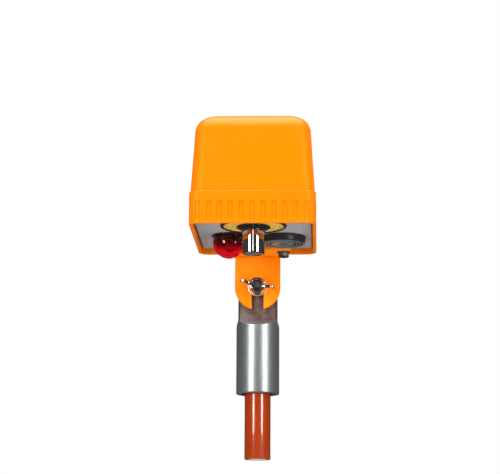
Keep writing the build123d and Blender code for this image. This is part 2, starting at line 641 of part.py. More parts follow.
def make_antenna():
    """Sensing plate hung from the roof on four insulating posts."""
    plate = block(84.0, 118.0, ANTENNA_Z, ANTENNA_Z + 1.0, 0, HOOD_Y, 6.0)
    posts = []
    screws = []
    for x, y in ANTENNA_SPOTS:
        plate = plate - disc(1.6, ANTENNA_Z - 1, ANTENNA_Z + 2, x, y)
        posts.append(disc(3.5, ANTENNA_Z + 1, ROOF_Z, x, y) - disc(1.5, ANTENNA_Z, ANTENNA_Z + 8, x, y))
        screws.append(disc(2.8, ANTENNA_Z - 2, ANTENNA_Z, x, y) + disc(1.45, ANTENNA_Z, ANTENNA_Z + 6.5, x, y))
    keep("antenna_plate", plate)
    keep("antenna_posts", joined(posts))
    keep("antenna_screws", joined(screws))


def make_leads():
    """Insulated leads between the board and what it serves."""
    under = BOARD_Z
    sounder_top = PANEL_TOP + 18
    pair = (-1.6, 1.6)
    runs = []
    for d in pair:
        x = SOUNDER_X + 2 * d
        y = SOUNDER_Y
        points = [(x, y, sounder_top), (x, y, sounder_top + 4), (x, y + 4, under - 4), (x, y + 4, under)]
        runs.append(wire_run(points, 1.6, LEAD_R))
    keep("sounder_leads", joined(runs))
    runs = []
    lamp_top = PANEL_TOP + 9
    for d in pair:
        x = LAMP_X + d * 1.8
        points = [(x, LAMP_Y + 5, lamp_top), (x, LAMP_Y + 5, lamp_top + 6), (x, LAMP_Y, under - 6), (x, LAMP_Y, under)]
        runs.append(wire_run(points, 2.4, LEAD_R))
    keep("lamp_leads", joined(runs))
    runs = []
    lug_top = PANEL_TOP + 16
    for k in (1, 2, 3):
        x, y = lug_spot(k)
        points = [(x, y, lug_top), (x, y, lug_top + 4), (x, y + 5, under - 4), (x, y + 5, under)]
        runs.append(wire_run(points, 1.6, LEAD_R))
    keep("switch_leads", joined(runs))
    runs = []
    snap_x = BATTERY_X + BATTERY[0] / 2 + 2.2
    lead_z = BOARD_TOP + 10.0
    for d in pair:
        y = BATTERY_Y + 3 * d
        points = [(snap_x, y, lead_z), (snap_x + 7, y, lead_z), (snap_x + 7, y, BOARD_TOP)]
        runs.append(wire_run(points, 3.0, LEAD_R))
    keep("battery_leads", joined(runs))
    x = -36.0
    y = -96.0
    points = [(x, y, ANTENNA_Z), (x, y, ANTENNA_Z - 16), (x, y + 6, BOARD_TOP + 16), (x, y + 6, BOARD_TOP)]
    keep("antenna_lead", wire_run(points, 6.0, LEAD_R))


def main():
    make_pole()
    make_pole_head()
    make_pivot_bolt()
    make_washers()
    make_wing_nut()
    make_tongue()
    make_bracket_fasteners()
    make_hood()
    make_panel()
    make_dial()
    make_selector()
    make_lamp()
    make_sounder()
    make_board()
    make_battery()
    make_antenna()
    make_leads()
    os.makedirs("parts", exist_ok=True)
    for name, shape in NODES.items():
        export_step(shape, f"parts/{name}.step")
        print(name, len(shape.solids()), round(shape.volume, 1))


main()
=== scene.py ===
"""Looks of a pole-mounted voltage detector head, built round its fixed CAD frame."""

from __future__ import annotations

import json
import logging
import math
from collections.abc import Callable, Iterable, Sequence
from dataclasses import dataclass, field
from enum import Enum
from functools import cache

import bpy
from bpy.types import Material, Node, NodeSocket, NodeTree
from bpy.types import Object as Piece
from mathutils import Euler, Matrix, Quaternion, Vector

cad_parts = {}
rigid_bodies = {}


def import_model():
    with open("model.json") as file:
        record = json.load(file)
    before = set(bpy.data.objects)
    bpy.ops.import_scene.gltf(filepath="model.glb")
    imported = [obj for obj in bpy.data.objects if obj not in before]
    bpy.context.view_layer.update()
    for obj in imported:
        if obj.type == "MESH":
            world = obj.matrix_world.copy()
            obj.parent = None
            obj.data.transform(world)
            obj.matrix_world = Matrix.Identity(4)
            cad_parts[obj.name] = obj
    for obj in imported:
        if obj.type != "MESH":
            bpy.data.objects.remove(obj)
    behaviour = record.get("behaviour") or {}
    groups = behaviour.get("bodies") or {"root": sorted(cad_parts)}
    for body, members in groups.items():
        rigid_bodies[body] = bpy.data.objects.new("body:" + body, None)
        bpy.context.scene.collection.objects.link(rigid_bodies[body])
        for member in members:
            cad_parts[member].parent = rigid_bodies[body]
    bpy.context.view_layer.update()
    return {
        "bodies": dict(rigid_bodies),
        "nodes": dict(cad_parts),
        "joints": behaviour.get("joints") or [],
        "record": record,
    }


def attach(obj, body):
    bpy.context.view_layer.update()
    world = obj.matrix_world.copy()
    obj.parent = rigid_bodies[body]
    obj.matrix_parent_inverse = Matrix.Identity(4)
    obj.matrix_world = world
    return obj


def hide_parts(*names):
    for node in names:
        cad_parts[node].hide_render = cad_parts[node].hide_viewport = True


log = logging.getLogger("detector_head")

Point = tuple[float, float, float]
Pair = tuple[float, float]
Colour = tuple[float, float, float]
Test = Callable[[Vector, Vector], bool]


# ---------------------------------------------------------------- bench tools


class Pick(Enum):
    """Which part of a mesh a selection is made of."""

    VERTS = (True, False, False)
    EDGES = (False, True, False)
    FACES = (False, False, True)


class Axis(Enum):
    """Turning axis of a lathed piece: its outward direction and its length direction."""

    UP = ((1.0, 0.0, 0.0), (0.0, 0.0, 1.0))
    FRONT = ((1.0, 0.0, 0.0), (0.0, -1.0, 0.0))
    SIDE = ((0.0, 0.0, 1.0), (1.0, 0.0, 0.0))

    @property
    def outward(self) -> Vector:
        """Unit vector from the axis towards the profile."""
        return Vector(self.value[0])

    @property
    def along(self) -> Vector:
        """Unit vector along the axis."""
        return Vector(self.value[1])


class Bench:
    """Modelling steps that every sub-assembly uses."""

    @staticmethod
    def deselect() -> None:
        """Leaves object mode with nothing selected."""
        if bpy.context.object and bpy.context.object.mode != "OBJECT":
            bpy.ops.object.mode_set(mode="OBJECT")
        bpy.ops.object.select_all(action="DESELECT")

    @staticmethod
    def activate(*pieces: Piece) -> None:
        """Selects only these pieces; the last one is active.

        Args:
            pieces: Objects to select.
        """
        Bench.deselect()
        for piece in pieces:
            piece.select_set(True)
        bpy.context.view_layer.objects.active = pieces[-1]

    @staticmethod
    def settle(piece: Piece) -> Piece:
        """Moves a piece's place, turn and size into its mesh.

        Args:
            piece: Object to settle.

        Returns:
            The same object, at the origin.
        """
        Bench.activate(piece)
        bpy.ops.object.transform_apply(location=True, rotation=True, scale=True)
        return piece

    @staticmethod
    def slab(name: str, low: Point, high: Point) -> Piece:
        """Adds a block between two corners.

        Args:
            name: Name of the piece.
            low: Lowest corner.
            high: Highest corner.

        Returns:
            The block.
        """
        Bench.deselect()
        middle = [(a + b) / 2 for a, b in zip(low, high)]
        size = [b - a for a, b in zip(low, high)]
        bpy.ops.mesh.primitive_cube_add(size=1.0, location=middle, scale=size)
        bpy.context.object.name = name
        return Bench.settle(bpy.context.object)

    @staticmethod
    def pick(piece: Piece, kind: Pick, test: Test) -> None:
        """Selects parts of a mesh by place and direction, and stays in edit mode.

        Args:
            piece: Object whose mesh is edited.
            kind: Vertices, edges or faces.
            test: Gets a part's middle and its normal, or an edge's direction, and says if it
                is wanted.
        """
        Bench.activate(piece)
        mesh = piece.data
        for parts in (mesh.vertices, mesh.edges, mesh.polygons):
            parts.foreach_set("select", [False] * len(parts))
        if kind is Pick.VERTS:
            for vert in mesh.vertices:
                vert.select = test(vert.co, vert.normal)
        elif kind is Pick.EDGES:
            for edge in mesh.edges:
                start, end = (mesh.vertices[i].co for i in edge.vertices)
                edge.select = test((start + end) / 2, (end - start).normalized())
        else:
            for face in mesh.polygons:
                face.select = test(face.center, face.normal)
        bpy.context.tool_settings.mesh_select_mode = kind.value
        bpy.ops.object.mode_set(mode="EDIT")

    @staticmethod
    def round_edges(piece: Piece, radius: float, steps: int, test: Test) -> None:
        """Rounds the edges that a test picks.

        Args:
            piece: Object whose mesh is edited.
            radius: Radius of the rounding.
            steps: Number of segments across it.
            test: Gets an edge's middle and direction, and says if it is wanted.
        """
        Bench.pick(piece, Pick.EDGES, test)
        bpy.ops.mesh.bevel(
            offset=radius, offset_type="OFFSET", segments=steps, affect="EDGES", profile=0.5
        )
        bpy.ops.object.mode_set(mode="OBJECT")

    @staticmethod
    def rounded_slab(name: str, low: Point, high: Point, corner: float, steps: int = 10) -> Piece:
        """Adds a block with its four upright edges rounded.

        Args:
            name: Name of the piece.
            low: Lowest corner.
            high: Highest corner.
            corner: Radius of the upright edges.
            steps: Segments across each rounding.

        Returns:
            The block.
        """
        piece = Bench.slab(name, low, high)
        Bench.round_edges(piece, corner, steps, lambda middle, way: abs(way.z) > 0.9)
        return piece

    @staticmethod
    def chain(name: str, points: Sequence[Sequence[float]]) -> Piece:
        """Draws a line of edges by pulling one vertex from point to point.

        Args:
            name: Name of the piece.
            points: Places of the vertices, in order.

        Returns:
            The line, selected all over and still in edit mode.
        """
        Bench.deselect()
        bpy.ops.mesh.primitive_plane_add(size=0.001, location=(0.0, 0.0, 0.0))
        piece = bpy.context.object
        piece.name = name
        bpy.ops.object.mode_set(mode="EDIT")
        bpy.context.tool_settings.mesh_select_mode = Pick.VERTS.value
        bpy.ops.mesh.select_all(action="SELECT")
        bpy.ops.mesh.merge(type="CENTER")
        here = Vector(points[0])
        bpy.ops.transform.translate(value=here)
        for point in points[1:]:
            step = Vector(point) - here
            bpy.ops.mesh.extrude_vertices_move(TRANSFORM_OT_translate={"value": step})
            here = Vector(point)
        bpy.ops.mesh.select_all(action="SELECT")
        return piece

    @staticmethod
    def tidy_shell() -> None:
        """Merges doubles and turns the faces of the mesh in edit mode outwards."""
        bpy.ops.mesh.select_all(action="SELECT")
        bpy.ops.mesh.remove_doubles(threshold=2e-6)
        bpy.ops.mesh.normals_make_consistent(inside=False)
        bpy.ops.object.mode_set(mode="OBJECT")

    @staticmethod
    def lathe(
        name: str, profile: Sequence[Pair], centre: Point, axis: Axis = Axis.UP, steps: int = 96
    ) -> Piece:
        """Turns a profile round an axis.

        Args:
            name: Name of the piece.
            profile: Radius and distance along the axis of each point. On a ring the last
                equals the first.
            centre: Point on the axis that distances are counted from.
            axis: Direction of the axis.
            steps: Segments round the axis.

        Returns:
            The turned piece.
        """
        middle = Vector(centre)
        points = [middle + axis.outward * radius + axis.along * far for radius, far in profile]
        piece = Bench.chain(name, points)
        bpy.ops.mesh.spin(steps=steps, angle=math.tau, center=middle, axis=axis.along)
        Bench.tidy_shell()
        return piece

    @staticmethod
    def rod(name: str, radius: float, span: Pair, centre: Point, axis: Axis, steps: int) -> Piece:
        """Turns a plain cylinder, mostly as a cutter.

        Args:
            name: Name of the piece.
            radius: Radius of the cylinder.
            span: Where it starts and ends along the axis.
            centre: Point on the axis that distances are counted from.
            axis: Direction of the axis.
            steps: Segments round the axis.

        Returns:
            The cylinder.
        """
        near, far = span
        profile = ((0.0, near), (radius, near), (radius, far), (0.0, far))
        return Bench.lathe(name, profile, centre, axis, steps)

    @staticmethod
    def collar(
        name: str, radii: Pair, span: Pair, centre: Point, axis: Axis, steps: int = 96
    ) -> Piece:
        """Turns a square-edged ring.

        Args:
            name: Name of the piece.
            radii: Inner and outer radius.
            span: Where it starts and ends along the axis.
            centre: Point on the axis that distances are counted from.
            axis: Direction of the axis.
            steps: Segments round the axis.

        Returns:
            The ring.
        """
        inner, outer = radii
        near, far = span
        profile = ((inner, near), (outer, near), (outer, far), (inner, far), (inner, near))
        return Bench.lathe(name, profile, centre, axis, steps)

    @staticmethod
    def prism(name: str, outline: Sequence[Point], rise: Point) -> Piece:
        """Fills a closed outline and gives it a thickness.

        Args:
            name: Name of the piece.
            outline: Corner points in order, without the first one repeated.
            rise: Vector from the outline's face to the opposite face.

        Returns:
            The prism.
        """
        piece = Bench.chain(name, [*outline, outline[0]])
        bpy.ops.mesh.remove_doubles(threshold=1e-6)
        bpy.ops.mesh.edge_face_add()
        bpy.ops.mesh.extrude_region_move(TRANSFORM_OT_translate={"value": rise})
        Bench.tidy_shell()
        return piece

    @staticmethod
    def arc(centre: Pair, radius: float, start: float, end: float, steps: int) -> list[Pair]:
        """Lists points on an arc."""
        turns = [math.radians(start + (end - start) * k / steps) for k in range(steps + 1)]
        return [(centre[0] + radius * math.cos(t), centre[1] + radius * math.sin(t)) for t in turns]

    @staticmethod
    def apply(piece: Piece, kind: str, **settings: object) -> None:
        """Adds a modifier to a piece and applies it.

        Args:
            piece: Object that gets the modifier.
            kind: Type of modifier.
            settings: Its values, by property name.
        """
        Bench.activate(piece)
        modifier = piece.modifiers.new(kind.lower(), kind)
        for key, value in settings.items():
            setattr(modifier, key, value)
        bpy.ops.object.modifier_apply(modifier=modifier.name)

    @staticmethod
    def combine(piece: Piece, other: Piece, operation: str) -> None:
        """Joins, cuts or keeps the overlap of two solids, and uses up the second.

        Args:
            piece: Solid that stays.
            other: Solid that is used up.
            operation: UNION, DIFFERENCE or INTERSECT.
        """
        Bench.apply(
            piece, "BOOLEAN", operation=operation, object=other, solver="EXACT", use_self=False
        )
        bpy.data.objects.remove(other)

    @staticmethod
    def merged(pieces: Sequence[Piece], name: str) -> Piece:
        """Puts several pieces in one mesh without cutting them.

        Args:
            pieces: Objects to put together.
            name: Name of the result.

        Returns:
            The joined object.
        """
        Bench.activate(*pieces)
        if len(pieces) > 1:
            bpy.ops.object.join()
        joined = bpy.context.view_layer.objects.active
        joined.name = name
        return joined

    @staticmethod
    def copy(piece: Piece, shift: Point = (0.0, 0.0, 0.0)) -> Piece:
        """Copies a piece with its own mesh and moves the copy.

        Args:
            piece: Object to copy.
            shift: How far the copy moves.

        Returns:
            The copy, at the origin.
        """
        Bench.activate(piece)
        bpy.ops.object.duplicate(linked=False)
        bpy.ops.transform.translate(value=shift)
        return Bench.settle(bpy.context.object)

    @staticmethod
    def turned_copy(piece: Piece, turn: float, axis: Axis, centre: Point) -> Piece:
        """Copies a piece and turns the copy round an axis.

        Args:
            piece: Object to copy.
            turn: Angle in radians.
            axis: Direction of the axis.
            centre: Point on the axis.

        Returns:
            The copy, at the origin.
        """
        Bench.activate(piece)
        bpy.ops.object.duplicate(linked=False)
        clone = bpy.context.object
        Bench.turn(clone, turn, axis, centre)
        return clone

    @staticmethod
    def turn(piece: Piece, turn: float, axis: Axis, centre: Point) -> None:
        """Turns a piece's mesh round an axis that is parallel to x, y or z.

        Args:
            piece: Object to turn.
            turn: Angle in radians, by the right-hand rule about +x, +y or +z.
            axis: Direction of the axis.
            centre: Point on the axis.
        """
        Bench.activate(piece)
        bpy.ops.object.mode_set(mode="EDIT")
        bpy.ops.mesh.select_all(action="SELECT")
        letter = {Axis.UP: "Z", Axis.FRONT: "Y", Axis.SIDE: "X"}[axis]
        bpy.ops.transform.rotate(value=-turn, orient_axis=letter, center_override=centre)
        bpy.ops.object.mode_set(mode="OBJECT")

    @staticmethod
    def soften(piece: Piece, width: float, steps: int = 2, sharp: float = 32.0) -> None:
        """Rounds every sharp edge a little.

        Args:
            piece: Object to soften.
            width: Width of the rounding.
            steps: Segments across it.
            sharp: Smallest angle that counts as an edge, in degrees.
        """
        Bench.apply(
            piece,
            "BEVEL",
            width=width,
            segments=steps,
            limit_method="ANGLE",
            angle_limit=math.radians(sharp),
            use_clamp_overlap=True,
        )

    @staticmethod
    def smooth(piece: Piece, angle: float = 32.0) -> None:
        """Shades a piece smooth up to an angle."""
        Bench.activate(piece)
        bpy.ops.object.shade_smooth_by_angle(angle=math.radians(angle))

    @staticmethod
    def hand_over(
        piece: Piece, body: str, finish: Finish, *nodes: str, angle: float = 0.0
    ) -> None:
        """Dresses a finished piece, puts it on its body and hides what it stands for.

        Args:
            piece: Finished object.
            body: CAD body that it moves with.
            finish: Material it gets.
            nodes: CAD nodes that it replaces.
            angle: Angle in degrees past which an edge stays sharp; 0 leaves the shading.
        """
        if angle:
            Bench.smooth(piece, angle)
        piece.data.materials.clear()
        piece.data.materials.append(finish.material())
        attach(piece, body)
        if nodes:
            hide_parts(*nodes)
        log.info("%s: %d faces on %s", piece.name, len(piece.data.polygons), body)


# ---------------------------------------------------------------- finishes


class Graph:
    """A node tree with short ways to add and join nodes."""

    def __init__(self, tree: NodeTree) -> None:
        """Keeps the tree."""
        self.tree = tree

    def add(self, kind: str, **settings: object) -> Node:
        """Adds a node.

        Args:
            kind: Type of node, without the leading ShaderNode.
            settings: Its values, by property name.

        Returns:
            The node.
        """
        node = self.tree.nodes.new("ShaderNode" + kind)
        for key, value in settings.items():
            setattr(node, key, value)
        return node

    def link(self, start: NodeSocket, end: NodeSocket) -> None:
        """Joins an output to an input."""
        self.tree.links.new(start, end)

    def math(self, operation: str, first: NodeSocket, second: NodeSocket | float) -> NodeSocket:
        """Adds a maths node.

        Args:
            operation: Name of the operation.
            first: Socket of the first value.
            second: Socket or number of the second value.

        Returns:
            The result's socket.
        """
        node = self.add("Math", operation=operation)
        self.link(first, node.inputs[0])
        if isinstance(second, float):
            node.inputs[1].default_value = second
        else:
            self.link(second, node.inputs[1])
        return node.outputs[0]

    def noise(self, source: Node, detail: float, roughness: float = 0.5) -> Node:
        """Adds noise that reads a group's Vector and Scale.

        Args:
            source: Input node of the group.
            detail: Number of octaves.
            roughness: Weight of each octave.

        Returns:
            The noise node.
        """
        node = self.add("TexNoise")
        node.inputs["Detail"].default_value = detail
        node.inputs["Roughness"].default_value = roughness
        for key in ("Vector", "Scale"):
            self.link(source.outputs[key], node.inputs[key])
        return node

    def mask(self, value: NodeSocket, low: float, high: float, **settings: object) -> NodeSocket:
        """Turns the values between two numbers into a mask of 0 to 1.

        Args:
            value: Socket of the value.
            low: Value where the mask is 0.
            high: Value where the mask is 1.
            settings: Values of the node, by property name.

        Returns:
            The mask's socket.
        """
        node = self.add("MapRange", **settings)
        node.inputs["From Min"].default_value = low
        node.inputs["From Max"].default_value = high
        self.link(value, node.inputs["Value"])
        return node.outputs["Result"]

    def blend(
        self, mask: NodeSocket, first: Colour | NodeSocket, second: Colour | NodeSocket
    ) -> NodeSocket:
        """Mixes two colours by a mask.

        Args:
            mask: Socket of the mask.
            first: Colour or socket where the mask is 0.
            second: Colour or socket where the mask is 1.

        Returns:
            The mixed colour's socket.
        """
        node = self.add("Mix", data_type="RGBA")
        self.link(mask, node.inputs["Factor"])
        for name, value in (("A", first), ("B", second)):
            socket = [s for s in node.inputs if s.name == name and s.type == "RGBA"][0]
            if isinstance(value, tuple):
                socket.default_value = (*value, 1.0)
            else:
                self.link(value, socket)
        return [s for s in node.outputs if s.type == "RGBA"][0]

    def group(self, tree: NodeTree, values: dict[str, float], vector: NodeSocket) -> Node:
        """Places a node group.

        Args:
            tree: The group.
            values: Its numbers, by input name.
            vector: Socket that feeds its Vector input.

        Returns:
            The group's node.
        """
        node = self.add("Group", node_tree=tree)
        self.link(vector, node.inputs["Vector"])
        for key, value in values.items():
            node.inputs[key].default_value = value
        return node


class Effects:
    """Node groups that several finishes share."""

    @staticmethod
    def start(
        name: str, inputs: dict[str, float], outputs: Sequence[str]
    ) -> tuple[Graph, Node, Node]:
        """Makes an empty group with a Vector input.

        Args:
            name: Name of the group.
            inputs: Default numbers of its other inputs.
            outputs: Names of its number outputs.

        Returns:
            The group's graph, its input node and its output node.
        """
        tree = bpy.data.node_groups.new(name, "ShaderNodeTree")
        tree.interface.new_socket("Vector", in_out="INPUT", socket_type="NodeSocketVector")
        for key, value in inputs.items():
            socket = tree.interface.new_socket(key, in_out="INPUT", socket_type="NodeSocketFloat")
            socket.default_value = value
        for key in outputs:
            tree.interface.new_socket(key, in_out="OUTPUT", socket_type="NodeSocketFloat")
        source = tree.nodes.new("NodeGroupInput")
        sink = tree.nodes.new("NodeGroupOutput")
        return Graph(tree), source, sink

    @staticmethod
    @cache
    def drift() -> NodeTree:
        """Slow change of shade over a surface: Mask runs from 0 to 1."""
        graph, source, sink = Effects.start("slow_drift", {"Scale": 30.0}, ("Mask",))
        noise = graph.noise(source, 3.0, 0.55).outputs["Fac"]
        mask = graph.mask(noise, 0.32, 0.68, interpolation_type="SMOOTHSTEP")
        graph.link(mask, sink.inputs["Mask"])
        return graph.tree

    @staticmethod
    @cache
    def grain() -> NodeTree:
        """Fine pebbled grain of a mould: Height for a bump and Mask for its hollows."""
        graph, source, sink = Effects.start("mould_grain", {"Scale": 1500.0}, ("Height", "Mask"))
        cells = graph.add("TexVoronoi", feature="SMOOTH_F1")
        cells.inputs["Smoothness"].default_value = 0.6
        graph.link(source.outputs["Vector"], cells.inputs["Vector"])
        graph.link(source.outputs["Scale"], cells.inputs["Scale"])
        noise = graph.add("TexNoise")
        noise.inputs["Detail"].default_value = 4.0
        graph.link(source.outputs["Vector"], noise.inputs["Vector"])
        graph.link(graph.math("MULTIPLY", source.outputs["Scale"], 0.45), noise.inputs["Scale"])
        height = graph.math("ADD", cells.outputs["Distance"], noise.outputs["Fac"])
        graph.link(height, sink.inputs["Height"])
        graph.link(graph.mask(height, 0.55, 1.15), sink.inputs["Mask"])
        return graph.tree

    @staticmethod
    @cache
    def lines() -> NodeTree:
        """Fine tool lines: the Vector comes in already stretched along them."""
        graph, source, sink = Effects.start("tool_lines", {"Scale": 1.0}, ("Height", "Mask"))
        noise = graph.noise(source, 5.0, 0.65).outputs["Fac"]
        graph.link(noise, sink.inputs["Height"])
        graph.link(graph.mask(noise, 0.35, 0.65), sink.inputs["Mask"])
        return graph.tree

    @staticmethod
    @cache
    def band() -> NodeTree:
        """Height band: Mask rises from 0 at Low to 1 at High."""
        graph, source, sink = Effects.start("height_band", {"Low": 0.0, "High": 1.0}, ("Mask",))
        parts = graph.add("SeparateXYZ")
        graph.link(source.outputs["Vector"], parts.inputs["Vector"])
        rise = graph.add("MapRange")
        graph.link(source.outputs["Low"], rise.inputs["From Min"])
        graph.link(source.outputs["High"], rise.inputs["From Max"])
        graph.link(parts.outputs["Z"], rise.inputs["Value"])
        graph.link(rise.outputs["Result"], sink.inputs["Mask"])
        return graph.tree

    @staticmethod
    @cache
    def edge_highlight() -> NodeTree:
        """Painted edge highlight: Mask is 1 on outward edges, broken up by noise."""
        inputs = {"Scale": 400.0, "Reach": 0.06}
        graph, source, sink = Effects.start("painted_edge_highlights", inputs, ("Mask",))
        shape = graph.add("NewGeometry")
        edge = graph.math("SUBTRACT", shape.outputs["Pointiness"], 0.5)
        edge = graph.math("DIVIDE", edge, source.outputs["Reach"])
        noise = graph.noise(source, 3.0)
        broken = graph.math("MULTIPLY", edge, noise.outputs["Fac"])
        limit = graph.add("Clamp")
        graph.link(graph.math("MULTIPLY", broken, 2.0), limit.inputs["Value"])
        graph.link(limit.outputs["Result"], sink.inputs["Mask"])
        return graph.tree


@dataclass(frozen=True)
class Finish:
    """What every finish states: its material's name, its slot, colours and gloss."""

    name: str
    slot: str
    colour: Colour
    shade: Colour
    roughness: float = 0.4

    def material(self) -> Material:
        """Gives the material, made on first use.

        Returns:
            The material.
        """
        found = bpy.data.materials.get(self.name)
        if found:
            return found
        made = bpy.data.materials.new(self.name)
        made.use_nodes = True
        made.diffuse_color = (*self.colour, 1.0)
        graph = Graph(made.node_tree)
        shader = made.node_tree.nodes["Principled BSDF"]
        shader.inputs["Roughness"].default_value = self.roughness
        place = graph.add("TexCoord").outputs["Object"]
        self.dress(graph, shader, place)
        return made

    def dress(self, graph: Graph, shader: Node, place: NodeSocket) -> None:
        """Builds what is special to this finish; each kind has its own."""
        raise NotImplementedError

    @staticmethod
    def bump(
        graph: Graph, shader: Node, height: NodeSocket, depth: float, strength: float = 1.0
    ) -> None:
        """Feeds a height to the shader's normal.

        Args:
            graph: Graph of the material.
            shader: Its Principled node.
            height: Socket of the height.
            depth: Depth in metres that a height of 1 stands for.
            strength: Strength of the bump.
        """
        node = graph.add("Bump")
        node.inputs["Distance"].default_value = depth
        node.inputs["Strength"].default_value = strength
        graph.link(height, node.inputs["Height"])
        graph.link(node.outputs["Normal"], shader.inputs["Normal"])

    @staticmethod
    def spread(graph: Graph, mask: NodeSocket, low: float, high: float) -> NodeSocket:
        """Turns a mask of 0 to 1 into a value between two numbers.

        Args:
            graph: Graph of the material.
            mask: Socket of the mask.
            low: Value where the mask is 0.
            high: Value where the mask is 1.

        Returns:
            The value's socket.
        """
        node = graph.add("MapRange")
        node.inputs["To Min"].default_value = low
        node.inputs["To Max"].default_value = high
        graph.link(mask, node.inputs["Value"])
        return node.outputs["Result"]

    @staticmethod
    def stretched(graph: Graph, place: NodeSocket, scale: Point) -> NodeSocket:
        """Scales object coordinates by direction.

        Args:
            graph: Graph of the material.
            place: Socket of the object coordinates.
            scale: Scale along x, y and z.

        Returns:
            The scaled coordinates' socket.
        """
        node = graph.add("Mapping")
        node.inputs["Scale"].default_value = scale
        graph.link(place, node.inputs["Vector"])
        return node.outputs["Vector"]


@dataclass(frozen=True)
class Moulded(Finish):
    """Injection-moulded plastic or rubber with a fine mould grain."""

    grain: float = 1500.0
    depth: float = 0.00002
    sheen: float = 0.5
    # Colour of the painted highlight on outward edges.
    edge: Colour | None = None
    tint: Colour = (1.0, 1.0, 1.0)
    # Strength of the painted highlight on outward edges.
    edge_highlight_amount: float = 1.0
    # Lighter colour painted on parts below a height: a painted highlight on the lowest face.
    crest: Colour | None = None
    painted_highlight_height: Pair = (0.0, 1.0)

    def dress(self, graph: Graph, shader: Node, place: NodeSocket) -> None:
        """Mixes the two shades, adds grain, uneven gloss and painted highlights on outward edges.

        Args:
            graph: Graph of the material.
            shader: Its Principled node.
            place: Socket of the object coordinates.
        """
        drift = graph.group(Effects.drift(), {"Scale": 28.0}, place)
        grain = graph.group(Effects.grain(), {"Scale": self.grain}, place)
        # Outward edges are lightened: a painted highlight.
        edge_highlight = graph.group(Effects.edge_highlight(), {"Scale": 500.0, "Reach": 0.08}, place)
        base = graph.blend(drift.outputs["Mask"], self.colour, self.shade)
        pores = graph.math("MULTIPLY", grain.outputs["Mask"], 0.35)
        base = graph.blend(pores, base, self.shade)
        light = self.edge or tuple(min(1.0, c * 1.25 + 0.02) for c in self.colour)
        base = graph.blend(graph.math("MULTIPLY", edge_highlight.outputs["Mask"], self.edge_highlight_amount), base, light)
        # Parts below the band take the crest colour: a painted highlight.
        if self.crest:
            low, high = self.painted_highlight_height
            band = graph.group(Effects.band(), {"Low": low, "High": high}, place)
            base = graph.blend(band.outputs["Mask"], self.crest, base)
        graph.link(base, shader.inputs["Base Color"])
        fine = graph.math("MULTIPLY", grain.outputs["Mask"], 0.4)
        slow = graph.math("MULTIPLY", drift.outputs["Mask"], 0.6)
        gloss = graph.math("ADD", fine, slow)
        rough = self.spread(graph, gloss, self.roughness - 0.05, self.roughness + 0.07)
        graph.link(rough, shader.inputs["Roughness"])
        shader.inputs["Specular IOR Level"].default_value = self.sheen
        shader.inputs["Specular Tint"].default_value = (*self.tint, 1.0)
        self.bump(graph, shader, grain.outputs["Height"], self.depth)


@dataclass(frozen=True)
class Lacquered(Finish):
    """Smooth high-gloss plastic or enamel under a clear coat."""

    coat: float = 0.8
    specks: float = 0.1

    def dress(self, graph: Graph, shader: Node, place: NodeSocket) -> None:
        """Adds faint flow marks, fine dust and a clear coat.

        Args:
            graph: Graph of the material.
            shader: Its Principled node.
            place: Socket of the object coordinates.
        """
        drift = graph.group(Effects.drift(), {"Scale": 90.0}, place)
        dust = graph.group(Effects.grain(), {"Scale": 2600.0}, place)
        base = graph.blend(drift.outputs["Mask"], self.colour, self.shade)
        fine = graph.math("MULTIPLY", dust.outputs["Mask"], self.specks)
        base = graph.blend(fine, base, (0.32, 0.31, 0.3))
        graph.link(base, shader.inputs["Base Color"])
        rough = self.spread(graph, drift.outputs["Mask"], self.roughness, self.roughness + 0.05)
        graph.link(rough, shader.inputs["Roughness"])
        shader.inputs["Coat Roughness"].default_value = 0.04
        coat = self.spread(graph, dust.outputs["Mask"], self.coat, self.coat * 0.85)
        graph.link(coat, shader.inputs["Coat Weight"])
        self.bump(graph, shader, dust.outputs["Height"], 0.000003)


